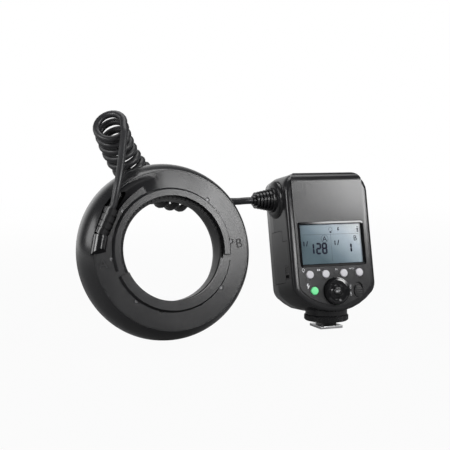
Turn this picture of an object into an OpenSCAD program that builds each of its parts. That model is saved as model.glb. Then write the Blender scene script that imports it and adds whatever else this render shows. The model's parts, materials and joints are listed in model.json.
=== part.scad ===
// Macro ring flash: a ring head on a curly cord and a shoe-mounted controller.
// Millimetres, +Z up. X points right and Y points at the subject, as the operator sees it.
// The origin is the middle of the shoe foot's underside.

/* [Ring head] */
// Diameter of the ring's widest flange
ring_d = 128.2; // [124:0.2:136]
// Diameter of the rear face at its edge
ring_rear_d = 116; // [113:0.5:119]
// Depth from the flange to the rear face
ring_depth = 22.6; // [21:0.2:27]
// Depth of the lip in front of the flange
front_lip = 4; // [3.4:0.1:5]
// Height of the straight band on the flange
flange_band = 2.5; // [1.5:0.1:4]
// Bore that the lens passes through
lens_bore_d = 72; // [69:0.5:73]
// Length of the straight stretch of the bore
lens_bore_len = 11; // [8:0.5:13]
// Wall of the bore sleeve
sleeve_wall = 2.6; // [2:0.1:3]
// Thickness of the rear cover
cover_t = 2.4; // [2:0.1:3]
// Thickness of the diffuser window at its rim
lens_t = 1.8; // [1.4:0.1:2.2]
// Crown of the diffuser window
lens_crown = 1.2; // [0.6:0.1:2]
// Lean of the ring away from the operator
ring_lean = 10; // [0:1:20]
// Turn of the ring about its own axis
ring_roll = 5.7; // [0:0.1:12]

/* [Lens mount] */
// Height of the mount lip above the rear face
lip_h = 2.6; // [2.2:0.1:3.2]
// Height of the slot under the lip
slot_h = 1.4; // [1:0.1:1.6]
// Radial depth of the slot under the lip
slot_w = 2.9; // [2:0.1:3.4]
// Radial width of the lip's foot
lip_foot_w = 2.8; // [2.2:0.1:3.2]
// Angle that the lip covers
lip_angle = 205; // [190:1:212]
// Angle that the latch jaw covers
jaw_angle = 145; // [120:1:146]
// Travel of the latch jaw
jaw_travel = 2.5; // [1.5:0.1:2.6]
// Number of index teeth round the sleeve's rim
index_teeth = 72; // [48:4:96]

/* [Controller] */
// Width of the controller
body_w = 69.5; // [68:0.5:72]
// Height from the dial's middle to the top
body_top = 91; // [89:0.5:96]
// Depth from the panel's shoulder to the back
body_depth = 48; // [46:0.5:52]
// Wall of the controller's shells
body_wall = 2.4; // [2:0.1:2.6]
// Lean of the controller away from the operator
body_lean = 12; // [8:1:14]
// Height of the panel skin above its shoulder
skin_proud = 0.8; // [0.4:0.1:1.2]
// Radius of the roll at the panel's top
wrap_r = 7; // [5:0.5:9]

/* [Display and keys] */
// Margin between the display's frame and the controller's side
lcd_side = 7; // [6.4:0.1:8.5]
// Height of the display's frame
lcd_h = 34; // [31:0.5:34.5]
// Width of the frame's border
lcd_border = 2.1; // [1.5:0.1:3]
// Height of the display's middle above the dial
lcd_up = 36; // [35.5:0.5:38]
// Diameter of the function keys
key_d = 6; // [5:0.1:6.4]
// Travel of the keys
key_travel = 0.6; // [0.4:0.05:0.6]
// Height of the keys above the panel
key_proud = 0.9; // [0.7:0.1:1.4]
// Diameter of the dial
dial_d = 20.4; // [19:0.2:21]
// Height of the dial above the panel
dial_proud = 3; // [2:0.1:4]
// Number of grip notches on the dial
dial_notches = 48; // [32:4:60]
// Travel of the power switch
switch_travel = 2.6; // [2:0.1:3]

/* [Shoe] */
// Width of the shoe foot
foot_w = 18.6; // [18:0.1:18.7]
// Length of the shoe foot
foot_l = 19; // [18:0.1:20]
// Thickness of the shoe foot
foot_t = 2; // [1.8:0.05:2]
// Diameter of the lock ring
lock_d = 33.9; // [31:0.1:36]
// Height of the lock ring
lock_h = 4.6; // [4:0.1:5]
// Room between the foot and the clamp plate
rail_room = 3.5; // [3:0.1:4]
// Stroke of the clamp plate
clamp_stroke = 1.4; // [0.8:0.1:1.6]

/* [Cord] */
// Diameter of the cord
cord_d = 5.3; // [4.6:0.1:5.3]
// Mean radius of the curls
curl_r = 10.4; // [9.6:0.1:10.4]
// Number of curls
curls = 13; // [9:1:13]

/* [Hidden] */
$fn = 64;

// Clearances: running fit, loose fit of fixed pieces, gap between moving pieces
run_fit = 0.08;
seat_fit = 0.1;
gap = 0.3;
eps = 0.01;

// Ring head, in its own frame: t is height along the axis, towards the operator
ring_pos = [-128.3, 10.5, 61.8];
flange_r = ring_d / 2;
rear_r = ring_rear_d / 2;
bore_r = lens_bore_d / 2;
sleeve_r = bore_r + sleeve_wall;
rim_w = 1.1;
ledge_w = 2.3;
pocket_r = rear_r - rim_w;
ledge_r = pocket_r - ledge_w;
seat_t = ring_depth - cover_t;
web_t = 2;
chamber_h = 4.8;
web_top = seat_t - chamber_h;
web_bottom = web_top - web_t;
flange_wall = 3.9;
cavity_r = flange_r - flange_wall;
lens_r = flange_r - 2.6;
lens_seat = lens_t - front_lip;
mouth_flare = 4.4;
mouth_r = bore_r + mouth_flare;
sleeve_foot_r = mouth_r + 1;
web_r = sleeve_foot_r + 0.1;
sleeve_rim = ring_depth - 1;
sleeve_flange_t = 1.5;
bore_bottom = sleeve_rim - lens_bore_len;
board_t = 1.6;
board_bottom = web_bottom - board_t;
flank_steps = 10;
flank_power = 2.2;
edge_fillet = 0.5;

// Screws of the ring: six of eight places, on the edge of the mount
screw_angles = [0, 45, 135, 180, 225, 315];
screw_ring_r = 45.2;
screw_r = 1.1;
screw_head_r = 1.7;
screw_head_t = 1.2;
screw_sink = 0.3;
post_r = 2.4;
post_hole_depth = 3.6;

// Lens mount: the lip stands on the rear cover, the jaw slides over it
slot_r = sleeve_r + 0.3;
lip_foot_r = slot_r + slot_w;
lip_outer_r = lip_foot_r + lip_foot_w;
lip_slope = 1.6;
lip_top = ring_depth + lip_h;
jaw_inner_r = bore_r + 0.4;
jaw_bottom = ring_depth + gap;
tongue_angle = 20;
tongue_r = lip_foot_r - 0.6;
tongue_w = 3;
tongue_t = 1.6;
tongue_end = web_top + sleeve_flange_t + gap;
tongue_len = jaw_bottom - tongue_end;
tongue_x = tongue_r * sin(tongue_angle);
tongue_y = -tongue_r * cos(tongue_angle);
jaw_spring_d = 2.6;
jaw_wire_d = 0.4;
jaw_spring_turns = 4;
jaw_spring_len = 4.6;
spring_lug_t = 1.6;
spring_t = tongue_end + jaw_spring_d / 2;
ridge_turn = 268;
ridge_angle = 22;
ridge_r = 38.4;
ridge_w = 1;
ridge_h = 0.5;
tooth_w = 0.7;
tooth_h = 0.8;

// Flash tubes and reflector
tube_r = 2.4;
tube_ring_r = (sleeve_foot_r + cavity_r) / 2;
tube_height = 3;
tube_angle = 150;
reflector_wall = 0.8;
reflector_hw = (cavity_r - sleeve_foot_r) / 2 - 0.5;
reflector_h = board_bottom - gap - lens_seat;
reflector_steps = 16;
socket_w = 6;
socket_angle = 29.4;
socket_front = 0;
socket_back = lens_seat + (reflector_h - reflector_wall)
    * sqrt(1 - pow(socket_w / 2 / (reflector_hw - reflector_wall), 2)) - gap;
lamp_r = 1.5;
lamp_h = 1.8;
lamp_spread = 6;

// Cord groove in the rear face: a ring tilted out of the face
groove_inset = 5;
groove_r = rear_r - groove_inset;
groove_t = ring_depth - 2.6;
groove_tilt = 9.5;
groove_axis = 160;
boot_r = 5;
boot_core_r = 3.9;
boot_start = 161;
boot_end = 138;
boot_ribs = 4;
rib_share = 0.84;
boot_core_start = 0.9;
boot_rib_start = 1.2;
groove_cut_r = boot_r + gap;
groove_cut_end = 92;
groove_lap = 2;
boss_r = 5.5;
boss_sink = 1.1;
boss_len = 19;
boss_cut = 38;
boss_cut_turn = 18;
cut_room = 4 * rear_r;

// Controller, in its own frame: origin on the panel at the dial's middle, y into the body
body_pos = [0, -16.4, 29.8];
base_z = 12.2;
hw = body_w / 2;
bottom_r = 44;
bottom_s = -15.3;
corner_r = 12;
top_corner_r = 12;
rear_corner_r = 8;
edge_r = 2.5;
skin_inset = 5;
skin_t = 1.6;
split_y = 28;
crease_y = split_y;
rear_taper = 1.4;
rear_round = 3.6;
rear_inset = 7;
cavity_front = 2.3;
cavity_back = body_depth - 2.2;
arc_steps = 6;
bottom_steps = 10;

// Display, in layers behind the panel
lcd_w = body_w - 2 * lcd_side;
lcd_bezel_t = 1.6;
lcd_bezel_proud = 0.4;
lcd_corner_r = 2;
lcd_ledge = 1.5;
lcd_glass_t = 1;
lcd_module_t = 4;
lcd_module_w = body_w - 10;
lcd_module_h = lcd_h + 2;
board_y = 7.4;
board_edge = 2.2;
board_drop = 8;
lid_room = 3.5;

// Keys: cap, flange behind the panel and stem towards the switch
key_outer = hw - 13.95;
key_inner = key_outer - 13.2;
key_xs = [-key_outer, -key_inner, key_inner, key_outer];
key_row = 13.3;
test_pos = [16.65 - hw, 1.1];
key_flange_r = key_d / 2 + 0.5;
key_flange_t = 0.8;
key_flange_y = cavity_front + gap;
key_stem_r = 1.3;
key_stem_end = 4.2;
key_dish = 0.15;
tact_top = key_stem_end + key_travel + gap;
tact_w = 4.2;

// Dial, its encoder hub and the button in its middle
dial_r = dial_d / 2;
dial_back = 3.2;
hub_r = 4.6;
hub_bore_r = 3.4;
hub_front = -0.6;
encoder_r = 8.2;
encoder_front = dial_back + gap;
set_r = 3.1;
set_proud = dial_proud + 0.3;
set_back = 2;
dial_dish = 1.1;
dial_rim = 2.2;
dial_bevel = 0.9;
notch_w = 0.5;
notch_depth = 0.45;

// Power switch
switch_pos = [hw - 15.95, 0.1];
switch_slot_w = 8;
switch_knob_w = 7.2;
switch_knob_h = 8.8;
switch_slot_h = switch_knob_h + switch_travel + 2 * gap;
switch_recess = 1.3;
switch_knob_proud = 0.5;
switch_stem_w = 2.4;
switch_stem_h = 3;
switch_stem_end = 4;
switch_ribs = 4;
switch_rib_w = 0.6;
switch_rib_depth = 0.35;

// Battery pack, its bay and its latch
pack_y = [13.6, body_depth - 16];
pack_s = [10.2, 47.4];
pack_x = [2.5 - hw, hw - 11.5];
lid_y = [5.5, pack_y[0] - 0.2, pack_y[1] + 0.5];
lid_s = [9.2, 11.8, 40, 48.5];
lid_chamfer = 1.4;
lid_inner_x = pack_x[0];
bay_wall = 1.2;
bay_fit = 0.4;
bay_rib_x = 15;
bay_rib_t = 1.6;
bay_x0 = 7.5 - hw;
latch_s = [12.4, 21.4];
latch_y = [6.4, 12.6];
latch_depth = 1.2;
latch_travel = 2.2;
latch_ribs = 3;

// Posts and screws that hold the controller's shells together
post_top = body_top - 12;
post_low = 4.5;
post_places = [[hw - 7.5, post_top], [7.5 - hw, post_top], [hw - 7, post_low], [7 - hw, post_low]];
front_post_r = 2.5;
board_post_r = 2;
rear_post_r = 3;
case_screw_r = 1.1;
case_head_r = 2;
case_head_t = 1.4;
case_screw_y = [13, split_y + 6];

// Inner parts
cap_r = 8.5;
cap_len = 40;
cap_y = (pack_y[0] + pack_y[1]) / 2;
assist_w = 24;
assist_h = 11;
assist_s = 66;
assist_t = 1.5;

// Cable gland and boot on the controller
gland_pos = [21.1, 73.3];
gland_boss_r = 14.5;
gland_boss_out = 2.6;
gland_boss_sink = 5;
collar_r = 9.6;
collar_t = 2;
gland_x = -hw - gland_boss_out;
boot_x0 = gland_x - collar_t;
boot_len = 14;
boot_rib_count = 5;
boot_rib_r = [8.2, 6.2];
boot_rib_t = 1.7;
boot_neck_r = 4.9;

// Shoe: foot, neck with two flats, clamp plate and lock ring round it
neck_r = 8;
neck_flat = 6.2;
clamp_t = 1.2;
clamp_r = 9.5;
clamp_bottom = foot_t + rail_room;
lock_bottom = clamp_bottom + 0.2;
lock_top = lock_bottom + lock_h;
shoe_base_bottom = lock_top + gap;
shoe_base_r = 16;
shoe_base_top = 18.5;
lock_lobes = 4;
lobe_grips = 9;
lobe_turn = 250;
lobe_step = 6;
grip_r = 0.7;
scallop_r = 7;
scallop_depth = 0.7;
pin_r = 0.8;
pin_y = 6.3;
pin_sink = 0.2;
pin_hole_len = 7;
pin_len = 6;
contact_r = 0.8;
contact_places = [[0, 0], [2.7, 3], [-2.7, 3], [2.7, -3], [-2.7, -3]];
contact_hole_r = contact_r + seat_fit;
contact_sink = 0.2;
contact_len = 4;
foot_screw_places = [[4.2, 5.4], [-4.2, 5.4], [4.2, -5.4], [-4.2, -5.4]];
foot_screw_r = 0.8;
foot_head_r = 1.4;
foot_head_t = 0.8;
foot_screw_len = 5;

// Cord route in the part's frame. The curls wind left-handed along a cubic curve.
curl_path = [[-100, 47, 100.8], [-139, 43, 103.6], [-152, 45, 134.5], [-164.5, 21, 155]];
lead_points = [[-66, 21.4, 96.6], [-74, 23.6, 97], [-81.5, 25, 98.6], [-88.5, 25.8, 100.8],
    [-94.2, 27.6, 101]];
tail_points = [[-159, 6.5, 142], [-160, 4, 136], [-161.5, 1, 130], [-163.5, -2.5, 122.5],
    [-166, -5.5, 115.5], [-168, -7.3, 108]];
curl_rings = 8;
curl_begin = 1;
curl_sides = 6;
tube_sides = 8;
arc_table_steps = 60;

charcoal = [0.16, 0.16, 0.17];
soft_black = [0.08, 0.08, 0.085];
gloss_black = [0.03, 0.03, 0.035];
key_grey = [0.82, 0.8, 0.83];
steel = [0.75, 0.76, 0.78];
board_green = [0.1, 0.32, 0.18];
brass = [0.8, 0.66, 0.35];

// Vectors and frames

function unit(v) = v / norm(v);
function turn_x(p, a) = [p[0], p[1] * cos(a) - p[2] * sin(a), p[1] * sin(a) + p[2] * cos(a)];
function turn_z(p, a) = [p[0] * cos(a) - p[1] * sin(a), p[0] * sin(a) + p[1] * cos(a), p[2]];
function turn_about(p, k, a) = p * cos(a) + cross(k, p) * sin(a) + k * (k * p) * (1 - cos(a));
function ring_direction(v) = turn_x(turn_z(v, ring_roll), 90 - ring_lean);
function ring_point(p) = ring_pos + ring_direction(p);
function body_direction(v) = turn_x(v, -body_lean);
function body_point(p) = body_pos + body_direction(p);

module ring_frame() {
    translate(ring_pos) rotate([90 - ring_lean, 0, 0]) rotate([0, 0, ring_roll]) children();
}

module body_frame() {
    translate(body_pos) rotate([-body_lean, 0, 0]) children();
}

// Turns shapes drawn on the XY plane to face the operator: x stays, y becomes the panel's height
module panel_extrude(y0, y1) {
    translate([0, y1, 0]) rotate([90, 0, 0]) linear_extrude(y1 - y0) children();
}

module panel_cylinder(place, r, y0, y1) {
    translate([place[0], y1, place[1]]) rotate([90, 0, 0]) cylinder(r = r, h = y1 - y0);
}

module below(z) {
    big = 400;
    translate([-big / 2, -big / 2, z - big]) cube(big);
}

// Outlines

function arc(c, r, a0, a1, n) = [for (i = [0:n])
    c + r * [cos(a0 + (a1 - a0) * i / n), sin(a0 + (a1 - a0) * i / n)]];

// Front view of the controller, drawn in by an inset and closed at a given top with rounded corners
corner_x = hw - corner_r;
bottom_mid = bottom_s + bottom_r;
corner_drop = sqrt(pow(bottom_r - corner_r, 2) - pow(corner_x, 2));
corner_s = bottom_mid - corner_drop;
corner_turn = atan2(-corner_drop, corner_x);
function shield(inset, top, round_r = top_corner_r) = concat(
    arc([0, bottom_mid], bottom_r - inset, -180 - corner_turn, corner_turn, bottom_steps),
    arc([corner_x, corner_s], corner_r - inset, corner_turn + 8, 0, arc_steps),
    arc([hw - round_r, top - round_r + inset], round_r - inset, 0, 90, arc_steps),
    arc([round_r - hw, top - round_r + inset], round_r - inset, 90, 180, arc_steps),
    arc([-corner_x, corner_s], corner_r - inset, 180, 172 - corner_turn, arc_steps));

module rounded_box(w, h, r) {
    polygon(concat(arc([w / 2 - r, h / 2 - r], r, 0, 90, arc_steps),
        arc([r - w / 2, h / 2 - r], r, 90, 180, arc_steps),
        arc([r - w / 2, r - h / 2], r, 180, 270, arc_steps),
            arc([w / 2 - r, r - h / 2], r, 270, 360, arc_steps)));
}

// Solid through a row of like outlines, each at its own depth: [y, outline]
module loft(sections) {
    n = len(sections[0][1]);
    m = len(sections);
    points = [for (s = sections) for (p = s[1]) [p[0], s[0], p[1]]];
    sides = [for (k = [0:m - 2]) for (i = [0:n - 1]) let (j = (i + 1) % n)
        for (f = [[k * n + i, k * n + j, (k + 1) * n + j], [k * n + i, (k + 1) * n + j, (k + 1) * n + i]])
            f];
    polyhedron(points, concat([[for (i = [n - 1:-1:0]) i]], sides,
        [[for (i = [0:n - 1]) (m - 1) * n + i]]));
}

// Tube of n sides through centres, with a side vector at each centre
module tube(centres, sides, r, n) {
    m = len(centres);
    ahead = [for (i = [0:m - 1]) unit(centres[min(i + 1, m - 1)] - centres[max(i - 1, 0)])];
    across = [for (i = [0:m - 1]) unit(sides[i] - ahead[i] * (sides[i] * ahead[i]))];
    points = [for (i = [0:m - 1]) for (k = [0:n - 1])
        centres[i] + r * (across[i] * cos(360 * k / n) + cross(ahead[i], across[i]) * sin(360 * k / n))];
    skin = [for (i = [0:m - 2]) for (k = [0:n - 1]) let (j = (k + 1) % n)
        for (f = [[i * n + k, (i + 1) * n + j, i * n + j], [i * n + k, (i + 1) * n + k, (i + 1) * n + j]])
            f];
    caps = [for (k = [1:n - 2]) for (f = [[0, k, k + 1],
        [(m - 1) * n, (m - 1) * n + k + 1, (m - 1) * n + k]]) f];
    polyhedron(points, concat(skin, caps));
}

// Ring head

function flank(u) = flange_r - (flange_r - rear_r) * pow(u, flank_power);
flank_top = ring_depth - edge_fillet;

module ring_profile() {
    polygon(concat(
        [[flange_r - 1.3, -front_lip], [flange_r - 0.3, -front_lip + 0.8], [flange_r, -front_lip + 2]],
        [for (i = [0:flank_steps]) [flank(i / flank_steps),
            flange_band + (flank_top - flange_band) * i / flank_steps]],
        [[rear_r - edge_fillet, ring_depth], [pocket_r, ring_depth], [pocket_r, seat_t], [ledge_r, seat_t],
        [ledge_r, web_top], [web_r, web_top], [web_r, web_bottom], [cavity_r, web_bottom],
        [cavity_r, lens_seat], [lens_r + seat_fit, lens_seat], [lens_r + seat_fit, -front_lip]]));
}

module at_screws() {
    for (a = screw_angles) rotate([0, 0, a]) translate([screw_ring_r, 0, 0]) children();
}

// Frame of the tilted ring that the cord's groove and boot follow
module groove_frame() {
    translate([0, 0, groove_t]) rotate(a = -groove_tilt, v = [cos(groove_axis), sin(groove_axis), 0])
        children();
}
function groove_direction(v) = turn_about(v, [cos(groove_axis), sin(groove_axis), 0], -groove_tilt);

module groove_arc(a0, a1, r) {
    groove_frame() rotate([0, 0, a0]) rotate_extrude(angle = a1 - a0) translate([groove_r, 0]) circle(r);
}

// The boot is straight, along a chord of that ring
function groove_point(a) = groove_direction(groove_r * [cos(a), sin(a), 0]) + [0, 0, groove_t];
boot_foot = groove_point(boot_start);
boot_tip = groove_point(boot_end);
boot_way = unit(boot_tip - boot_foot);
boot_span = norm(boot_tip - boot_foot);

module along_boot(s) {
    translate(boot_foot + boot_way * s) rotate([0, acos(boot_way[2]), atan2(boot_way[1], boot_way[0])])
        children();
}

module groove_cut() {
    groove_arc(groove_cut_end, boot_end + groove_lap, groove_cut_r);
    along_boot(0) cylinder(r = groove_cut_r + gap, h = boot_span + 2 * gap);
}

module ring_housing() {
    color(charcoal) ring_frame() {
        difference() {
            union() {
                rotate_extrude() ring_profile();
                at_screws() translate([0, 0, web_top - eps]) cylinder(r = post_r, h = chamber_h + eps);
            }
            at_screws() translate([0, 0, seat_t - post_hole_depth])
                cylinder(r = screw_r + seat_fit / 2, h = post_hole_depth + 1);
            groove_cut();
        }
    }
}

module ring_rear_cover() {
    slot_len = tongue_t + jaw_travel + 2 * gap;
    lug_top = tongue_y - tongue_t / 2 - jaw_spring_len;
    color(charcoal) ring_frame() difference() {
        union() {
            translate([0, 0, seat_t]) cylinder(r = pocket_r - seat_fit, h = cover_t);
            for (side = [-1, 1]) translate([side * tongue_x - tongue_w / 2, lug_top - spring_lug_t,
                spring_t - jaw_spring_d / 2])
                cube([tongue_w, spring_lug_t, seat_t - spring_t + jaw_spring_d / 2 + eps]);
        }
        translate([0, 0, seat_t - 1]) cylinder(r = sleeve_r + seat_fit, h = cover_t + 2);
        at_screws() {
            translate([0, 0, seat_t - 1]) cylinder(r = screw_r + seat_fit, h = cover_t + 2);
            translate([0, 0, ring_depth - screw_sink - screw_head_t])
                cylinder(r = screw_head_r + seat_fit, h = screw_head_t + 1);
        }
        for (side = [-1, 1])
            translate([side * tongue_x - tongue_w / 2 - gap, tongue_y + tongue_t / 2 + gap - slot_len,
                seat_t - 1])
                cube([tongue_w + 2 * gap, slot_len, cover_t + 2]);
        groove_cut();
    }
}

module mount_lip() {
    start = 90 - lip_angle / 2;
    color(charcoal) ring_frame() rotate([0, 0, start]) rotate_extrude(angle = lip_angle)
        polygon([[lip_foot_r, ring_depth], [lip_outer_r, ring_depth], [lip_outer_r - lip_slope, lip_top],
            [slot_r, lip_top], [slot_r, ring_depth + slot_h], [lip_foot_r, ring_depth + slot_h]]);
}

module bore_sleeve() {
    color(soft_black) ring_frame() difference() {
        rotate_extrude() polygon([[bore_r, sleeve_rim], [sleeve_r, sleeve_rim],
            [sleeve_r, web_top + sleeve_flange_t], [screw_ring_r - post_r - gap, web_top + sleeve_flange_t],
            [screw_ring_r - post_r - gap, web_top], [sleeve_r, web_top], [sleeve_r, bore_bottom],
            [sleeve_foot_r - 0.6, lens_seat], [sleeve_foot_r, lens_seat], [sleeve_foot_r, -front_lip],
            [mouth_r, -front_lip], [bore_r, bore_bottom]]);
        for (i = [0:index_teeth - 1]) rotate([0, 0, 360 * i / index_teeth])
            translate([bore_r + 0.7, -tooth_w / 2, sleeve_rim - tooth_h])
                cube([sleeve_wall + 1, tooth_w, tooth_h + 1]);
    }
}

module latch_jaw() {
    start = 270 - jaw_angle / 2;
    color(charcoal) ring_frame() {
        rotate([0, 0, start]) rotate_extrude(angle = jaw_angle)
            polygon([[jaw_inner_r, jaw_bottom], [lip_outer_r - 0.2, jaw_bottom],
                [lip_outer_r - lip_slope, lip_top], [jaw_inner_r, lip_top]]);
        rotate([0, 0, ridge_turn]) rotate_extrude(angle = ridge_angle)
            translate([ridge_r, lip_top - eps]) square([ridge_w, ridge_h + eps]);
        for (side = [-1, 1])
            translate([side * tongue_x - tongue_w / 2, tongue_y - tongue_t / 2, jaw_bottom - tongue_len])
                cube([tongue_w, tongue_t, tongue_len + eps]);
    }
}

// Small springs that push the jaw home, wound by formula
module jaw_springs() {
    rings = jaw_spring_turns * curl_rings;
    mean_r = (jaw_spring_d - jaw_wire_d) / 2;
    free = jaw_spring_len - 2 * gap - jaw_wire_d;
    top = tongue_y - tongue_t / 2 - gap - jaw_wire_d / 2;
    color(steel) ring_frame() for (side = [-1, 1]) translate([side * tongue_x, top, spring_t])
        tube([for (i = [0:rings]) [mean_r * cos(360 * i / curl_rings), -free * i / rings,
            mean_r * sin(360 * i / curl_rings)]],
            [for (i = [0:rings]) [cos(360 * i / curl_rings), 0, sin(360 * i / curl_rings)]],
                jaw_wire_d / 2, curl_sides);
}

module diffuser_window() {
    r0 = sleeve_foot_r + seat_fit;
    color([0.93, 0.94, 0.95, 0.8]) ring_frame() rotate_extrude() polygon(concat(
        [for (i = [0:8]) [r0 + (lens_r - r0) * i / 8, -front_lip - lens_crown * sin(180 * i / 8)]],
        [[lens_r, lens_seat], [r0, lens_seat]]));
}

// Half an ellipse, seen as the reflector's section
function reflector_arc(half, height) = [for (i = [0:reflector_steps])
    [tube_ring_r - half * cos(180 * i / reflector_steps),
        lens_seat + height * sin(180 * i / reflector_steps)]];

module reflector() {
    inner = reflector_arc(reflector_hw - reflector_wall, reflector_h - reflector_wall);
    outer = reflector_arc(reflector_hw, reflector_h);
    color([0.85, 0.86, 0.88]) ring_frame() rotate_extrude()
        polygon(concat(outer, [for (i = [reflector_steps:-1:0]) inner[i]]));
}

module flash_tube(middle) {
    color([0.9, 0.93, 0.95, 0.6]) ring_frame() rotate([0, 0, middle - tube_angle / 2])
        rotate_extrude(angle = tube_angle) translate([tube_ring_r, tube_height]) circle(tube_r);
}

module tube_sockets() {
    color([0.88, 0.88, 0.86]) ring_frame() for (a = [90, 270]) rotate([0, 0, a - socket_angle / 2])
        rotate_extrude(angle = socket_angle) translate([tube_ring_r - socket_w / 2, socket_front])
            square([socket_w, socket_back - socket_front]);
}

module focus_lamps() {
    color([0.98, 0.97, 0.9]) ring_frame() for (a = [90, 270]) for (side = [-1, 1])
        rotate([0, 0, a + side * lamp_spread]) translate([tube_ring_r, 0, socket_front - lamp_h]) {
            cylinder(r = lamp_r, h = lamp_h);
        }
}

module ring_board() {
    color(board_green) ring_frame() translate([0, 0, board_bottom]) difference() {
        cylinder(r = cavity_r - 0.4, h = board_t);
        translate([0, 0, -1]) cylinder(r = web_r + 0.4, h = board_t + 2);
    }
}

module ring_screws() {
    head = ring_depth - screw_sink - screw_head_t;
    shank = head - (seat_t - post_hole_depth) - 0.4;
    color(steel) ring_frame() at_screws() difference() {
        union() {
            translate([0, 0, head]) cylinder(r = screw_head_r, h = screw_head_t);
            translate([0, 0, head - shank]) cylinder(r = screw_r, h = shank + eps);
        }
        for (a = [0, 90]) rotate([0, 0, a]) translate([-1, -0.2, head + screw_head_t - 0.6])
            cube([2, 0.4, 1]);
    }
}

// Smooth boss that closes the cord's way into the ring, cut off slanting at its lower end
module cord_boss() {
    depth = boss_r - boss_sink;
    color(gloss_black) ring_frame() difference() {
        rotate([0, 0, boot_start]) translate([groove_r, 0, ring_depth - boss_sink]) rotate([-90, 0, 0])
            cylinder(r = boss_r, h = boss_len);
        translate([-cut_room / 2, -cut_room / 2, ring_depth - cut_room]) cube(cut_room);
        rotate([0, 0, boot_start]) translate([groove_r, boss_len, ring_depth]) rotate([boss_cut, 0, 0])
            rotate([0, 0, boss_cut_turn]) translate([-boss_len, -depth, -boss_len]) cube(2 * boss_len);
    }
}

module ring_boot() {
    step = (boot_span - boot_rib_start) / boot_ribs;
    color(gloss_black) ring_frame() union() {
        along_boot(boot_core_start) cylinder(r = boot_core_r, h = boot_span - boot_core_start);
        for (i = [0:boot_ribs - 1]) along_boot(boot_rib_start + i * step)
            cylinder(r = boot_r, h = rib_share * step);
    }
}

// Cord

function cubic(p, u) = p[0] * pow(1 - u, 3) + 3 * p[1] * u * pow(1 - u, 2) + 3 * p[2] * u * u * (1 - u) +
    p[3] * pow(u, 3);
function cubic_ahead(p, u) = unit((p[1] - p[0]) * pow(1 - u, 2) + 2 * (p[2] - p[1]) * u * (1 - u) +
    (p[3] - p[2]) * u * u);

// Share of the curve's length reached at each step, so that the curls are evenly spaced
path_steps = [for (i = [0:arc_table_steps - 1])
    norm(cubic(curl_path, (i + 1) / arc_table_steps) - cubic(curl_path, i / arc_table_steps))];
function sums(list, i = 0, so_far = 0) = i >= len(list) ? [so_far] : concat([so_far],
    sums(list, i + 1, so_far + list[i]));
path_sums = sums(path_steps);
path_len = path_sums[arc_table_steps];
function path_u(share) = lookup(share * path_len,
    [for (i = [0:arc_table_steps]) [path_sums[i], i / arc_table_steps]]);

curl_count = curls * curl_rings;
function curl_out(i) = let (ahead = cubic_ahead(curl_path, path_u(i / curl_count)),
    side = unit(cross([0, 0, 1], ahead)),
    a = -360 * i / curl_rings) side * cos(a) + cross(ahead, side) * sin(a);
function curl_centre(i) = cubic(curl_path, path_u(i / curl_count)) + curl_r * curl_out(i);
curl_centres = [for (i = [curl_begin:curl_count]) curl_centre(i)];
curl_outs = [for (i = [curl_begin:curl_count]) curl_out(i)];
curl_top = curl_count - curl_begin;
curl_first = unit(curl_centres[0] - curl_centre(curl_begin + 0.5));
curl_last = unit(curl_centres[curl_top] - curl_centre(curl_count - 0.5));
curl_start = curl_centres[0] + curl_first * cord_d;
curl_end = curl_centres[curl_top] + curl_last * cord_d;
curl_gap = min([for (i = [0:curl_top]) for (j = [i + curl_rings - 2:1:curl_top])
    norm(curl_centres[j] - curl_centres[i])]) - cord_d;
echo(least_gap_between_curls = curl_gap);

ring_exit_way = ring_direction(boot_way);
ring_exit = ring_point(boot_tip);
body_exit = body_point([boot_x0 - boot_len, gland_pos[0], gland_pos[1]]);

module cord_tail() {
    route = concat([curl_end, curl_end + curl_last * cord_d], tail_points,
        [ring_exit + ring_exit_way * cord_d, ring_exit]);
    color(soft_black) tube(route, [for (p = route) [1, 0, 0]], cord_d / 2, tube_sides);
}

module cord_curls() {
    color(soft_black) tube(concat([curl_start], curl_centres, [curl_end]),
        concat([curl_outs[0]], curl_outs, [curl_outs[curl_top]]), cord_d / 2, curl_sides);
}

module cord_lead() {
    route = concat([body_exit, body_exit - [cord_d, 0, 0]], lead_points,
        [curl_start + curl_first * cord_d, curl_start]);
    color(soft_black) tube(route, [for (p = route) [0, 1, 0]], cord_d / 2, tube_sides);
}

// Controller housing

function roll_top(y) = body_top - wrap_r + sqrt(pow(wrap_r, 2) - pow(max(wrap_r - y, 0), 2));
function roll_side(y) = edge_r - sqrt(pow(edge_r, 2) - pow(max(edge_r - y, 0), 2));
front_ys = [0, 0.4, 1.2, edge_r, 4.5, wrap_r];
outer_sections = concat(
    [for (y = front_ys) [skin_proud + y, shield(roll_side(y), roll_top(y))]],
    [[crease_y, shield(0, body_top, rear_corner_r)],
    [body_depth - 7, shield(rear_taper, body_top - rear_taper, rear_corner_r)],
    [body_depth - 2.5, shield(rear_round, body_top - rear_round, rear_corner_r)],
        [body_depth, shield(rear_inset, body_top - rear_inset, rear_corner_r)]]);
inner_sections = [
    [cavity_front, shield(body_wall + 0.8, body_top - wrap_r)],
    [cavity_front + wrap_r, shield(body_wall, body_top - body_wall)],
    [crease_y, shield(body_wall, body_top - body_wall, rear_corner_r)],
    [body_depth - 7, shield(rear_taper + body_wall, body_top - rear_taper - body_wall, rear_corner_r)],
    [cavity_back, shield(rear_inset, body_top - rear_inset, rear_corner_r)]];

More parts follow.
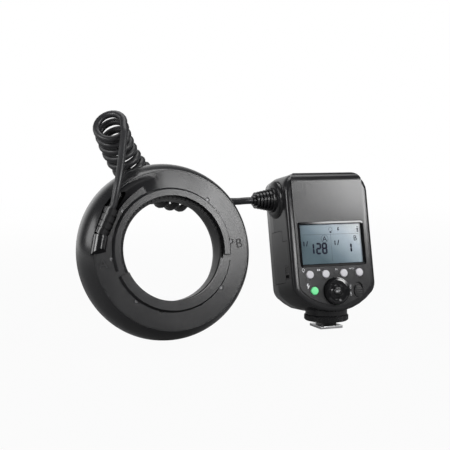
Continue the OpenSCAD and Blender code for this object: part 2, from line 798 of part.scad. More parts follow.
// Panel skin: one strip that rises over the front and rolls over the top
module panel_skin() {
    outer_r = wrap_r + skin_proud;
    top = body_top + skin_proud * 0.75;
    low = bottom_s - 5;
    intersection() {
        rotate([90, 0, 90]) translate([0, 0, -hw]) linear_extrude(2 * hw)
            polygon(concat([[0, low]], arc([outer_r, top - outer_r], outer_r, 180, 90, arc_steps),
                [[crease_y - 2, top], [crease_y - 2, top - skin_t]],
                arc([outer_r, top - outer_r], outer_r - skin_t, 90, 180, arc_steps), [[skin_t, low]]));
        panel_extrude(-1, crease_y) polygon(shield(skin_inset, top));
    }
}

module gland_boss() {
    flare = gland_boss_r - collar_r;
    translate([gland_boss_sink - hw, gland_pos[0], gland_pos[1]]) rotate([0, -90, 0])
        rotate_extrude() polygon(concat([[0, 0], [gland_boss_r, 0]],
            [for (p = arc([0, 0], 1, 0, 90, arc_steps))
                [collar_r + flare * p[0], gland_boss_sink + gland_boss_out * p[1]]],
                [[0, gland_boss_sink + gland_boss_out]]));
}

module body_outer() {
    difference() {
        body_frame() union() {
            loft(outer_sections);
            panel_skin();
            gland_boss();
        }
        below(base_z);
    }
}

module body_cavity() {
    difference() {
        body_frame() loft(inner_sections);
        below(base_z + body_wall);
    }
}

// Side view of the battery lid, grown by a clearance
module lid_outline(grow) {
    polygon([[lid_y[0] - grow, lid_s[1] - grow], [lid_y[1] - grow, lid_s[1] - grow],
        [lid_y[1] - grow, lid_s[0] - grow],
        [lid_y[2] + grow, lid_s[0] - grow], [lid_y[2] + grow, lid_s[3] + grow],
        [lid_y[1] + lid_chamfer - grow, lid_s[3] + grow], [lid_y[1] - grow, lid_s[3] - lid_chamfer + grow],
        [lid_y[1] - grow, lid_s[2] + grow], [lid_y[0] - grow, lid_s[2] + grow]]);
}

module lid_prism(grow, x0, x1) {
    translate([x0, 0, 0]) rotate([90, 0, 90]) linear_extrude(x1 - x0) lid_outline(grow);
}

module half_space(front) {
    big = 300;
    translate([-big / 2, front ? split_y - big : split_y, -big / 2]) cube(big);
}

module at_posts() {
    for (p = post_places) translate([p[0], 0, p[1]]) rotate([-90, 0, 0]) children();
}

module switch_shape(w, h) {
    for (side = [-1, 1]) translate([0, side * (h - w) / 2]) circle(d = w);
    square([w, h - w], center = true);
}

module front_cover() {
    color(charcoal) difference() {
        union() {
            difference() {
                intersection() {
                    body_outer();
                    body_frame() half_space(true);
                }
                body_cavity();
            }
            body_frame() at_posts() {
                translate([0, 0, cavity_front - 0.5])
                    cylinder(r = front_post_r, h = board_y - cavity_front + 0.5);
                translate([0, 0, board_y - eps]) cylinder(r = board_post_r, h = split_y - board_y + eps);
            }
        }
        body_frame() {
            at_posts() translate([0, 0, case_screw_y[0] - 0.4])
                cylinder(r = case_screw_r + seat_fit / 2, h = split_y);
            translate([0, 0, lcd_up]) panel_extrude(-1, lcd_bezel_t - lcd_bezel_proud)
                rounded_box(lcd_w + 2 * seat_fit, lcd_h + 2 * seat_fit, lcd_corner_r + seat_fit);
            translate([0, 0, lcd_up]) panel_extrude(-1, cavity_front + 1)
                square([lcd_w - 2 * lcd_ledge, lcd_h - 2 * lcd_ledge], center = true);
            for (x = key_xs) panel_cylinder([x, key_row], key_d / 2 + gap, -1, cavity_front + 1);
            panel_cylinder(test_pos, key_d / 2 + gap, -1, cavity_front + 1);
            panel_cylinder([0, 0], dial_r + gap, -1, cavity_front + 1);
            translate([switch_pos[0], 0, switch_pos[1]]) {
                panel_extrude(-1, switch_recess) switch_shape(switch_slot_w, switch_slot_h);
                panel_extrude(-1, cavity_front + 1)
                    square([switch_stem_w + 2 * gap, switch_stem_h + switch_travel + 2 * gap],
                        center = true);
            }
            lid_prism(gap, -body_w, lid_inner_x + lid_room);
        }
    }
}

module rear_shell() {
    color(charcoal) difference() {
        union() {
            difference() {
                intersection() {
                    body_outer();
                    body_frame() half_space(false);
                }
                body_cavity();
            }
            intersection() {
                body_outer();
                body_frame() at_posts() translate([0, 0, split_y])
                    cylinder(r = rear_post_r, h = body_depth);
            }
        }
        body_frame() {
            at_posts() {
                translate([0, 0, split_y - 1]) cylinder(r = case_screw_r + seat_fit, h = body_depth);
                translate([0, 0, case_screw_y[1]]) cylinder(r = case_head_r + seat_fit, h = body_depth);
            }
            lid_prism(gap, -body_w, lid_inner_x + lid_room);
            translate([0, 0, assist_s]) panel_extrude(body_depth - assist_t, body_depth + 1)
                rounded_box(assist_w + 2 * seat_fit, assist_h + 2 * seat_fit, 2 + seat_fit);
        }
    }
}

module assist_window() {
    color([0.35, 0.03, 0.04]) body_frame() translate([0, 0, assist_s])
        panel_extrude(body_depth - assist_t, body_depth - 0.1) rounded_box(assist_w, assist_h, 2);
}

module case_screws() {
    color(steel) body_frame() at_posts() {
        translate([0, 0, case_screw_y[0]]) cylinder(r = case_screw_r,
            h = case_screw_y[1] - case_screw_y[0] + eps);
        translate([0, 0, case_screw_y[1]]) difference() {
            cylinder(r = case_head_r, h = case_head_t);
            for (a = [0, 90]) rotate([0, 0, a]) translate([-1.2, -0.25, case_head_t - 0.7])
                cube([2.4, 0.5, 1]);
        }
    }
}

// Display

module lcd_bezel() {
    color(gloss_black) body_frame() translate([0, 0, lcd_up]) difference() {
        panel_extrude(-lcd_bezel_proud, lcd_bezel_t - lcd_bezel_proud)
            rounded_box(lcd_w, lcd_h, lcd_corner_r);
        panel_extrude(-2, lcd_bezel_t)
            square([lcd_w - 2 * lcd_border, lcd_h - 2 * lcd_border], center = true);
    }
}

module lcd_glass() {
    back = lcd_bezel_t - lcd_bezel_proud;
    color([0.75, 0.85, 0.9, 0.4]) body_frame() translate([0, 0, lcd_up])
        panel_extrude(back - lcd_glass_t, back)
        square([lcd_w - 2 * lcd_border - 2 * seat_fit, lcd_h - 2 * lcd_border - 2 * seat_fit],
            center = true);
}

module lcd_module() {
    front = cavity_front + 0.1;
    view_front = lcd_bezel_t - lcd_bezel_proud + 0.1;
    color([0.45, 0.58, 0.62]) body_frame() translate([0, 0, lcd_up]) union() {
        panel_extrude(front, front + lcd_module_t) square([lcd_module_w, lcd_module_h], center = true);
        panel_extrude(view_front, front + eps)
            square([lcd_w - 2 * lcd_ledge - 2 * gap, lcd_h - 2 * lcd_ledge - 2 * gap], center = true);
    }
}

// Board and switches

module main_board() {
    color(board_green) body_frame() difference() {
        panel_extrude(board_y, board_y + board_t)
            polygon(shield(body_wall + board_edge, body_top - board_drop));
        for (p = post_places) panel_cylinder(p, board_post_r + 0.2, board_y - 1, board_y + board_t + 1);
        translate([-body_w, board_y - 1, lid_s[1] - lid_room])
            cube([body_w + lid_inner_x + lid_room, board_t + 2, lid_s[2] - lid_s[1] + 2 * lid_room]);
    }
}

module switches() {
    set_switch_top = set_back + key_travel + gap;
    color([0.2, 0.2, 0.21]) body_frame() {
        for (place = concat([for (x = key_xs) [x, key_row]], [test_pos]))
            translate([place[0], tact_top, place[1] - tact_w / 2]) translate([-tact_w / 2, 0, 0])
                cube([tact_w, board_y - tact_top, tact_w]);
        panel_cylinder([0, 0], hub_bore_r - 0.8, set_switch_top, board_y);
        translate([switch_pos[0] - 2.6, switch_stem_end + gap, switch_pos[1] - 1.8])
            cube([5.2, board_y - switch_stem_end - gap, 5.6]);
    }
}

module encoder() {
    color([0.15, 0.15, 0.16]) body_frame() difference() {
        union() {
            panel_cylinder([0, 0], encoder_r, encoder_front, board_y);
            panel_cylinder([0, 0], hub_r, hub_front, encoder_front + eps);
        }
        panel_cylinder([0, 0], hub_bore_r, hub_front - 1, board_y + 1);
    }
}

// Revolved about the panel's normal: x is the radius and y the height above the panel
module panel_revolve() {
    rotate([90, 0, 0]) rotate_extrude() children();
}

module dial() {
    face = dial_proud - dial_dish;
    color(gloss_black) body_frame() difference() {
        panel_revolve() polygon([[hub_r + run_fit, -dial_back], [dial_r, -dial_back],
            [dial_r, dial_proud - dial_bevel],
            [dial_r - dial_bevel, dial_proud], [dial_r - dial_rim, dial_proud],
                [dial_r - dial_rim - 1.6, face],
            [hub_r + 0.6, face], [hub_r - 0.2, dial_proud - 0.4], [set_r + gap, dial_proud - 0.4],
            [set_r + gap, -hub_front + gap], [hub_r + run_fit, -hub_front + gap]]);
        for (i = [0:dial_notches - 1]) rotate([0, 360 * i / dial_notches, 0])
            translate([dial_r - notch_depth - dial_bevel, -dial_proud - 1, -notch_w / 2])
                cube([notch_depth + dial_bevel + 1, 1 + notch_depth + dial_bevel, notch_w]);
    }
}

module set_button() {
    color([0.1, 0.1, 0.105]) body_frame() panel_revolve()
        polygon([[0, -set_back], [set_r, -set_back], [set_r, set_proud - 0.4], [set_r - 0.4, set_proud],
            [set_r - 1, set_proud - 0.05], [0, set_proud - 0.2]]);
}

module key(place) {
    body_frame() translate([place[0], 0, place[1]]) panel_revolve()
        polygon([[0, -key_stem_end], [key_stem_r, -key_stem_end],
            [key_stem_r, -key_flange_y - key_flange_t],
            [key_flange_r, -key_flange_y - key_flange_t], [key_flange_r, -key_flange_y],
                [key_d / 2, -key_flange_y],
            [key_d / 2, key_proud - 0.3], [key_d / 2 - 0.3, key_proud], [0, key_proud - key_dish]]);
}

module function_button(i) {
    color(key_grey) key([key_xs[i], key_row]);
}

module test_button() {
    color([0.4, 0.95, 0.55]) key(test_pos);
}

module power_switch() {
    knob_back = switch_recess - gap;
    low = switch_pos[1] - switch_travel / 2;
    color(soft_black) body_frame() translate([switch_pos[0], 0, low]) difference() {
        union() {
            panel_extrude(-switch_knob_proud, knob_back) switch_shape(switch_knob_w, switch_knob_h);
            panel_extrude(knob_back - eps, switch_stem_end)
                square([switch_stem_w, switch_stem_h], center = true);
        }
        for (i = [0:switch_ribs - 1]) translate([-switch_knob_w, -switch_knob_proud - 1,
            (i - (switch_ribs - 1) / 2) * 1.6 - switch_rib_w / 2])
                cube([2 * switch_knob_w, 1 + switch_rib_depth, switch_rib_w]);
    }
}

// Power parts

module capacitor() {
    color([0.12, 0.12, 0.14]) body_frame()
        translate([-cap_len / 2, cap_y, pack_s[1] + bay_fit + bay_wall + cap_r + 0.2]) rotate([0, 90, 0])
            cylinder(r = cap_r, h = cap_len);
}

module battery_bay() {
    y0 = pack_y[0] - bay_fit;
    y1 = pack_y[1] + bay_fit;
    s0 = pack_s[0] - bay_fit;
    s1 = pack_s[1] + bay_fit;
    x1 = pack_x[1] + 0.8;
    color([0.13, 0.13, 0.14]) body_frame() difference() {
        union() {
            translate([bay_x0, y0 - bay_wall, s0 - bay_wall])
                cube([x1 + bay_wall - bay_x0, y1 - y0 + 2 * bay_wall, s1 - s0 + 2 * bay_wall]);
            for (side = [-1, 1]) translate([side * bay_rib_x - bay_rib_t / 2, y1 + bay_wall - eps, s0])
                cube([bay_rib_t, cavity_back - y1 - bay_wall + eps, s1 - s0]);
        }
        translate([bay_x0 - 1, y0, s0]) cube([x1 - bay_x0 + 1, y1 - y0, s1 - s0]);
    }
}

module battery_lid() {
    intersection() {
        body_outer();
        body_frame() lid_prism(0, -body_w, lid_inner_x);
    }
}

module latch_pocket(grow, extra) {
    translate([-hw - 5, latch_y[0] - grow, latch_s[0] - grow - extra])
        cube([5 + latch_depth + grow, latch_y[1] - latch_y[0] + 2 * grow,
            latch_s[1] - latch_s[0] + 2 * grow + extra]);
}

module battery() {
    color(charcoal) difference() {
        union() {
            battery_lid();
            body_frame() translate([pack_x[0] - eps, pack_y[0], pack_s[0]])
                cube([pack_x[1] - pack_x[0] + eps, pack_y[1] - pack_y[0], pack_s[1] - pack_s[0]]);
        }
        body_frame() latch_pocket(gap / 2, 0);
    }
}

module battery_latch() {
    color(soft_black) difference() {
        intersection() {
            body_outer();
            body_frame() latch_pocket(0, -latch_travel);
        }
        body_frame() for (i = [0:latch_ribs - 1])
            translate([-hw - 1, latch_y[0] - 1, latch_s[0] + latch_travel + 1.4 + i * 1.8])
                cube([1.35, latch_y[1] - latch_y[0] + 2, 0.7]);
    }
}

module battery_contacts() {
    color(brass) body_frame() for (i = [-1:1])
        translate([pack_x[1] + gap, cap_y - 1 + i * 5, (pack_s[0] + pack_s[1]) / 2 - 4]) cube([0.5, 2, 8]);
}

// Gland and boot on the controller, about an axis along X

module along_gland(x) {
    body_frame() translate([x, gland_pos[0], gland_pos[1]]) rotate([0, -90, 0]) children();
}

module gland_collar() {
    color(gloss_black) along_gland(gland_x) rotate_extrude()
        polygon([[0, 0], [collar_r, 0], [collar_r, collar_t - 0.6], [collar_r - 0.6, collar_t],
            [0, collar_t]]);
}

module controller_boot() {
    pitch = (boot_len - 1.4) / boot_rib_count;
    color(gloss_black) along_gland(boot_x0) rotate_extrude() union() {
        polygon([[0, 0], [boot_neck_r, 0], [boot_neck_r - 0.9, boot_len], [0, boot_len]]);
        for (i = [0:boot_rib_count - 1])
            translate([0, pitch * i + 0.4])
                square([boot_rib_r[0] + (boot_rib_r[1] - boot_rib_r[0]) * i / (boot_rib_count - 1),
                    boot_rib_t]);
    }
}

// Shoe

module neck_outline(grow) {
    intersection() {
        circle(neck_r + grow);
        square([2 * (neck_flat + grow), 3 * neck_r], center = true);
    }
}

module shoe_base() {
    color(soft_black) difference() {
        union() {
            translate([0, 0, shoe_base_bottom])
                cylinder(r = shoe_base_r, h = shoe_base_top - shoe_base_bottom);
            translate([0, 0, foot_t]) linear_extrude(shoe_base_bottom - foot_t + eps) neck_outline(0);
        }
        body_outer();
        body_frame() translate([-hw, 0, -corner_r]) cube([body_w, body_depth, 3 * corner_r]);
        translate([0, pin_y, foot_t - 1]) cylinder(r = pin_r + run_fit, h = 1 + pin_hole_len);
        for (p = contact_places) translate([p[0], p[1], foot_t - 1])
            cylinder(r = contact_hole_r, h = 1 + contact_len);
        for (p = foot_screw_places) translate([p[0], p[1], foot_t - 1])
            cylinder(r = foot_screw_r + seat_fit / 2, h = 1 + foot_screw_len);
    }
}

module lock_ring() {
    color(soft_black) difference() {
        translate([0, 0, lock_bottom]) rotate_extrude()
            polygon([[neck_r + run_fit, 0], [lock_d / 2 - 0.8, 0],
            [lock_d / 2, 0.8], [lock_d / 2, lock_h - 0.8], [lock_d / 2 - 0.8, lock_h],
                [neck_r + run_fit, lock_h]]);
        translate([0, 0, lock_bottom - 1]) cylinder(r = clamp_r + gap,
            h = clamp_bottom + clamp_t + gap - lock_bottom + 1);
        for (k = [0:lock_lobes - 1]) rotate([0, 0, lobe_turn + 360 * k / lock_lobes]) {
            for (i = [0:lobe_grips - 1]) rotate([0, 0, (i - (lobe_grips - 1) / 2) * lobe_step])
                translate([lock_d / 2 + grip_r * 0.35, 0, lock_bottom - 1])
                    cylinder(r = grip_r, h = lock_h + 2, $fn = 16);
            rotate([0, 0, 180 / lock_lobes]) translate([lock_d / 2 + scallop_r - scallop_depth, 0,
                lock_bottom - 1])
                cylinder(r = scallop_r, h = lock_h + 2);
        }
    }
}

module clamp_plate() {
    color(soft_black) difference() {
        translate([0, 0, clamp_bottom]) cylinder(r = clamp_r, h = clamp_t);
        translate([0, 0, clamp_bottom - 1]) linear_extrude(clamp_t + 2) neck_outline(run_fit);
    }
}

module lock_pin() {
    color(steel) translate([0, pin_y, pin_sink]) cylinder(r = pin_r, h = pin_len);
}

module shoe_foot() {
    color(steel) difference() {
        translate([-foot_w / 2, -foot_l / 2, 0]) cube([foot_w, foot_l, foot_t]);
        translate([0, pin_y, -1]) cylinder(r = pin_r + run_fit, h = foot_t + 2);
        for (p = contact_places) translate([p[0], p[1], -1]) cylinder(r = contact_hole_r, h = foot_t + 2);
        for (p = foot_screw_places) translate([p[0], p[1], -1]) {
            cylinder(r = foot_screw_r + seat_fit / 2, h = foot_t + 2);
            cylinder(r = foot_head_r + seat_fit, h = 1 + foot_head_t + 0.1);
        }
    }
}

module shoe_contacts() {
    color(brass) for (p = contact_places) translate([p[0], p[1], contact_sink])
        cylinder(r = contact_r, h = contact_len);
}

module foot_screws() {
    color(steel) for (p = foot_screw_places) translate([p[0], p[1], 0.1]) {
        cylinder(r = foot_head_r, h = foot_head_t);
        cylinder(r = foot_screw_r, h = foot_t + foot_screw_len - 1);
    }
}

ring_housing();
ring_rear_cover();
mount_lip();
bore_sleeve();
latch_jaw();
jaw_springs();
diffuser_window();
reflector();
flash_tube(180);  // flash_tube_a
flash_tube(0);  // flash_tube_b
tube_sockets();
focus_lamps();
ring_board();
ring_screws();
cord_boss();
ring_boot();
cord_tail();
cord_curls();
cord_lead();
controller_boot();
gland_collar();
front_cover();
rear_shell();
lcd_bezel();
lcd_glass();
lcd_module();
main_board();
switches();
encoder();
dial();
set_button();
function_button(0);  // function_button_1
function_button(1);  // function_button_2
function_button(2);  // function_button_3
function_button(3);  // function_button_4
test_button();
power_switch();
capacitor();
battery_bay();
battery();
battery_latch();
battery_contacts();
assist_window();
case_screws();
shoe_base();
lock_ring();
clamp_plate();
lock_pin();
shoe_foot();
shoe_contacts();
foot_screws();
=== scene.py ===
import json
import math

import bmesh
import bpy
from mathutils import Matrix, Vector

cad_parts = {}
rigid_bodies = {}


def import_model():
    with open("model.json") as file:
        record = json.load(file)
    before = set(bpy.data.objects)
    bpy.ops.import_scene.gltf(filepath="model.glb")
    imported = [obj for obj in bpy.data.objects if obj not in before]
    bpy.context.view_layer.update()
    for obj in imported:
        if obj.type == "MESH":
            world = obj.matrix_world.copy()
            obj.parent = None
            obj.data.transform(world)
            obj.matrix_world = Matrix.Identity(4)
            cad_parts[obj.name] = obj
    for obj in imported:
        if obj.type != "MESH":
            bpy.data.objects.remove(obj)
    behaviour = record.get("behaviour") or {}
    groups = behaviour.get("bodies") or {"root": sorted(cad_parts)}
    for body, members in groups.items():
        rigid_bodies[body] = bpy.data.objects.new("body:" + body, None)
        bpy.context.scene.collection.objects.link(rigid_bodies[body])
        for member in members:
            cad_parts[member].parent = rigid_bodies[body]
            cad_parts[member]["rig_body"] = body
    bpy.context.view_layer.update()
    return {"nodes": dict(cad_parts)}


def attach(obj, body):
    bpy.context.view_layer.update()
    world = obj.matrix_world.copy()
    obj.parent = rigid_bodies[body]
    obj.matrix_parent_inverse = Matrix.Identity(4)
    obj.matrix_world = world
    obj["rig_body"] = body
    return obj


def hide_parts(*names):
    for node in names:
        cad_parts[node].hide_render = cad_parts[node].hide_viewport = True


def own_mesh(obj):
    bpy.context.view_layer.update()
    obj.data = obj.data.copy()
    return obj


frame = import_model()

# The studio: a pale floor, a white surround behind the ring flash and six soft boxes in a dim room.
# The camera stands where the photograph was taken, left of the operator's view and a little above it.
scene = bpy.context.scene
scene.view_settings.view_transform = "Standard"

camera_data = bpy.data.cameras.new("camera")
camera_data.lens = 86.16
camera_data.sensor_width = 36
camera_data.clip_start = 0.05
camera_data.clip_end = 20
camera = bpy.data.objects.new("camera", camera_data)
scene.collection.objects.link(camera)
camera.matrix_world = Matrix((
    (0.92913, 0.03223, -0.36834, -0.3746),
    (-0.36975, 0.08098, -0.92559, -0.7312),
    (0.0, 0.99619, 0.08716, 0.1499),
    (0.0, 0.0, 0.0, 1.0)))
scene.camera = camera

world = bpy.data.worlds.new("studio")
scene.world = world
world.use_nodes = True
sky = world.node_tree.nodes
sky_links = world.node_tree.links
sky.clear()
sky_out = sky.new("ShaderNodeOutputWorld")
seen_white = sky.new("ShaderNodeBackground")
seen_white.inputs["Color"].default_value = (1.0, 1.0, 1.0, 1.0)
soft_fill = sky.new("ShaderNodeBackground")
soft_fill.inputs["Color"].default_value = (0.96, 0.98, 1.0, 1.0)
soft_fill.inputs["Strength"].default_value = 0.22
mirrored = sky.new("ShaderNodeBackground")
mirrored.inputs["Color"].default_value = (1.0, 1.0, 1.0, 1.0)
way = sky.new("ShaderNodeTexCoord")
facing = sky.new("ShaderNodeVectorMath")
facing.operation = "DOT_PRODUCT"
facing.inputs[1].default_value = (0.0, 0.995, 0.1)
sky_links.new(way.outputs["Generated"], facing.inputs[0])
backdrop = sky.new("ShaderNodeMapRange")
backdrop.inputs["From Min"].default_value = 0.80
backdrop.inputs["From Max"].default_value = 0.97
backdrop.inputs["To Min"].default_value = 0.08
backdrop.inputs["To Max"].default_value = 1.0
sky_links.new(facing.outputs["Value"], backdrop.inputs["Value"])
sky_links.new(backdrop.outputs["Result"], mirrored.inputs["Strength"])
ray = sky.new("ShaderNodeLightPath")
seen_rays = sky.new("ShaderNodeMath")
seen_rays.operation = "MAXIMUM"
sky_links.new(ray.outputs["Is Camera Ray"], seen_rays.inputs[0])
sky_links.new(ray.outputs["Is Transmission Ray"], seen_rays.inputs[1])
gloss_mix = sky.new("ShaderNodeMixShader")
sky_links.new(ray.outputs["Is Glossy Ray"], gloss_mix.inputs[0])
sky_links.new(soft_fill.outputs[0], gloss_mix.inputs[1])
sky_links.new(mirrored.outputs[0], gloss_mix.inputs[2])
sky_mix = sky.new("ShaderNodeMixShader")
sky_links.new(seen_rays.outputs[0], sky_mix.inputs[0])
sky_links.new(gloss_mix.outputs[0], sky_mix.inputs[1])
sky_links.new(seen_white.outputs[0], sky_mix.inputs[2])
sky_links.new(sky_mix.outputs[0], sky_out.inputs["Surface"])


def soft_box(name, place, aim, width, height, watts, in_gloss=True):
    """A rectangular lamp that faces a point, and shows in glossy surfaces or not."""
    data = bpy.data.lights.new(name, "AREA")
    data.shape = "RECTANGLE"
    data.size = width
    data.size_y = height
    data.energy = watts
    lamp = bpy.data.objects.new(name, data)
    scene.collection.objects.link(lamp)
    lamp.location = place
    lamp.rotation_mode = "QUATERNION"
    lamp.rotation_quaternion = (Vector(aim) - Vector(place)).to_track_quat("-Z", "Y")
    lamp.visible_glossy = in_gloss


soft_box("soft_box_top", (0.05, 0.15, 0.95), (-0.06, 0.0, 0.06), 0.9, 0.5, 4.3)
soft_box("soft_box_left", (-0.95, -0.38, 0.45), (-0.12, 0.0, 0.08), 0.40, 0.36, 4.0)
soft_box("soft_box_left_rear", (-0.95, 0.27, 0.34), (-0.15, 0.0, 0.08), 0.36, 0.36, 1.6)
soft_box("soft_box_subject", (-0.10, 1.30, 0.32), (-0.08, 0.0, 0.08), 0.8, 0.4, 12.0, in_gloss=False)
soft_box("soft_box_front", (0.19, -0.75, 0.29), (-0.10, 0.0, 0.08), 0.14, 0.14, 0.88)
soft_box("soft_box_right", (0.66, -0.75, 0.53), (0.0, 0.0, 0.09), 0.40, 0.32, 6.0)

floor_half, floor_drop = 3.0, 0.003
glow_near, glow_far = 0.2, 1.6
floor_mesh = bpy.data.meshes.new("floor")
floor_bm = bmesh.new()
bmesh.ops.create_grid(floor_bm, x_segments=1, y_segments=1, size=floor_half)
floor_bm.to_mesh(floor_mesh)
floor_bm.free()
floor_mesh.transform(Matrix.Translation((0, 0, -floor_drop)))
floor = bpy.data.objects.new("floor", floor_mesh)
scene.collection.objects.link(floor)
pale = bpy.data.materials.new("pale_floor")
pale.use_nodes = True
pale_nodes = pale.node_tree.nodes
pale_links = pale.node_tree.links
pale_paint = pale_nodes["Principled BSDF"]
pale_paint.inputs["Base Color"].default_value = (0.20, 0.20, 0.20, 1.0)
pale_paint.inputs["Roughness"].default_value = 0.9
floor_mesh.materials.append(pale)
pale_glow = pale_nodes.new("ShaderNodeEmission")
pale_ray = pale_nodes.new("ShaderNodeLightPath")
pale_where = pale_nodes.new("ShaderNodeTexCoord")
pale_reach = pale_nodes.new("ShaderNodeVectorMath")
pale_reach.operation = "LENGTH"
pale_links.new(pale_where.outputs["Object"], pale_reach.inputs[0])


def glow_share(ray_kind, near_share):
    """The share of its own white that the floor shows to one kind of ray, less near the flash."""
    reach = pale_nodes.new("ShaderNodeMapRange")
    reach.interpolation_type = "SMOOTHSTEP"
    reach.inputs["From Min"].default_value = glow_near
    reach.inputs["From Max"].default_value = glow_far
    reach.inputs["To Min"].default_value = near_share
    pale_links.new(pale_reach.outputs["Value"], reach.inputs["Value"])
    part = pale_nodes.new("ShaderNodeMath")
    part.operation = "MULTIPLY"
    pale_links.new(reach.outputs["Result"], part.inputs[0])
    pale_links.new(pale_ray.outputs[ray_kind], part.inputs[1])
    return part.outputs[0]


pale_part = pale_nodes.new("ShaderNodeMath")
pale_part.operation = "MAXIMUM"
pale_links.new(glow_share("Is Camera Ray", 0.95), pale_part.inputs[0])
pale_mirrored = pale_nodes.new("ShaderNodeMath")
pale_mirrored.operation = "MAXIMUM"
pale_links.new(glow_share("Is Transmission Ray", 0.9), pale_mirrored.inputs[0])
pale_links.new(glow_share("Is Glossy Ray", 0.0), pale_mirrored.inputs[1])
pale_links.new(pale_mirrored.outputs[0], pale_part.inputs[1])
pale_mix = pale_nodes.new("ShaderNodeMixShader")
pale_links.new(pale_part.outputs[0], pale_mix.inputs[0])
pale_links.new(pale_paint.outputs[0], pale_mix.inputs[1])
pale_links.new(pale_glow.outputs[0], pale_mix.inputs[2])
pale_links.new(pale_mix.outputs[0], pale_nodes["Material Output"].inputs["Surface"])

# The curly cord: a soft black jacket over a multi-core cable, wound left-handed on a mandrel.
# It leaves the controller's boot, runs behind the ring as a straight lead, curls up past the ring's top,
# and comes down in front of the ring as a straight tail into the ring's boot.
cord_d = 0.0053
curl_r = 0.0104
curls = 13
curl_begin = 0.125
curl_steps = 24
curl_path = [Vector(p) for p in ((-0.100, 0.047, 0.1008), (-0.139, 0.043, 0.1036),
                                 (-0.152, 0.045, 0.1345), (-0.1645, 0.021, 0.155))]
lead_points = [Vector(p) for p in ((-0.066, 0.0214, 0.0966), (-0.074, 0.0236, 0.097),
                                   (-0.0815, 0.025, 0.0986), (-0.0885, 0.0258, 0.1008),
                                   (-0.0942, 0.0276, 0.101))]
tail_points = [Vector(p) for p in ((-0.159, 0.0065, 0.142), (-0.160, 0.004, 0.136),
                                   (-0.1615, 0.001, 0.130), (-0.1635, -0.0025, 0.1225),
                                   (-0.166, -0.0055, 0.1155), (-0.168, -0.0073, 0.108))]
ring_lean, ring_roll, body_lean = 10, 5.7, 12
ring_frame = (Matrix.Translation((-0.1283, 0.0105, 0.0618))
              @ Matrix.Rotation(math.radians(90 - ring_lean), 4, "X")
              @ Matrix.Rotation(math.radians(ring_roll), 4, "Z"))
body_frame = Matrix.Translation((0, -0.0164, 0.0298)) @ Matrix.Rotation(math.radians(-body_lean), 4, "X")
groove_r, groove_rise, groove_tilt = 0.053, 0.020, 9.5
groove_turn = math.radians(160)
groove_axis = Vector((math.cos(groove_turn), math.sin(groove_turn), 0))
groove_frame = (ring_frame @ Matrix.Translation((0, 0, groove_rise))
                @ Matrix.Rotation(math.radians(-groove_tilt), 4, groove_axis))
boot_foot_angle, boot_tip_angle = 161, 138


def on_groove(angle):
    """A point on the groove's middle line, by its angle round the ring."""
    turn = math.radians(angle)
    return groove_frame @ Vector((groove_r * math.cos(turn), groove_r * math.sin(turn), 0))


ring_exit = on_groove(boot_tip_angle)
ring_exit_way = (ring_exit - on_groove(boot_foot_angle)).normalized()
body_exit = body_frame @ Vector((-0.05335, 0.0211, 0.0733))


def along_cubic(u):
    """A point on the line that the curls are wound about."""
    a, b, c, d = curl_path
    v = 1 - u
    return a * v ** 3 + b * (3 * u * v * v) + c * (3 * u * u * v) + d * u ** 3


def cubic_heading(u):
    """The direction of that line."""
    a, b, c, d = curl_path
    v = 1 - u
    return ((b - a) * v * v + (c - b) * (2 * u * v) + (d - c) * u * u).normalized()


path_parts = 60
path_sums = [0.0]
for i in range(path_parts):
    part_length = (along_cubic((i + 1) / path_parts) - along_cubic(i / path_parts)).length
    path_sums.append(path_sums[-1] + part_length)


def even_u(share):
    """The cubic's parameter at a share of its length."""
    want = share * path_sums[-1]
    for i in range(path_parts):
        if want <= path_sums[i + 1] + 1e-12:
            return (i + (want - path_sums[i]) / (path_sums[i + 1] - path_sums[i])) / path_parts
    return 1.0


def curl_point(turn):
    """A point on the cord's middle line, by the turns wound up to it."""
    u = even_u(turn / curls)
    ahead = cubic_heading(u)
    side = Vector((0, 0, 1)).cross(ahead).normalized()
    a = -2 * math.pi * turn
    return along_cubic(u) + curl_r * (side * math.cos(a) + ahead.cross(side) * math.sin(a))


first_step = round(curl_begin * curl_steps)
curl_line = [curl_point(k / curl_steps) for k in range(first_step, curls * curl_steps + 1)]
end_turn = 1 / 16
curl_start_way = (curl_line[0] - curl_point(curl_begin + end_turn)).normalized()
curl_end_way = (curl_line[-1] - curl_point(curls - end_turn)).normalized()
curl_start = curl_line[0] + curl_start_way * cord_d
curl_end = curl_line[-1] + curl_end_way * cord_d


def smooth_run(points, steps):
    """Points on a smooth curve through the given ones, the ends held in line."""
    ends = [points[0] * 2 - points[1], *points, points[-1] * 2 - points[-2]]
    line = []
    for p0, p1, p2, p3 in zip(ends, ends[1:], ends[2:], ends[3:]):
        for k in range(steps):
            t = k / steps
            line.append(0.5 * (2 * p1 + (p2 - p0) * t + (2 * p0 - 5 * p1 + 4 * p2 - p3) * t * t
                               + (3 * p1 - p0 - 3 * p2 + p3) * t ** 3))
    return line


run_steps = 4
lead_line = smooth_run([body_exit, body_exit - Vector((cord_d, 0, 0)), *lead_points,
                        curl_start + curl_start_way * cord_d, curl_start], run_steps)
tail_line = smooth_run([curl_end, curl_end + curl_end_way * cord_d, *tail_points,
                        ring_exit + ring_exit_way * cord_d, ring_exit], run_steps)
tail_line.append(ring_exit)
tail_passes, tail_held = 30, 3
for _ in range(tail_passes):
    between = range(tail_held, len(tail_line) - tail_held)
    eased = [(tail_line[k - 1] + 2 * tail_line[k] + tail_line[k + 1]) / 4 for k in between]
    tail_line = tail_line[:tail_held] + eased + tail_line[-tail_held:]
cord_line = lead_line + [curl_start] + curl_line + tail_line
cord_curve = bpy.data.curves.new("curly_cord", "CURVE")
cord_curve.dimensions = "3D"
cord_curve.bevel_depth = cord_d / 2
cord_curve.bevel_resolution = 4
cord_curve.use_fill_caps = True
cord_spline = cord_curve.splines.new("POLY")
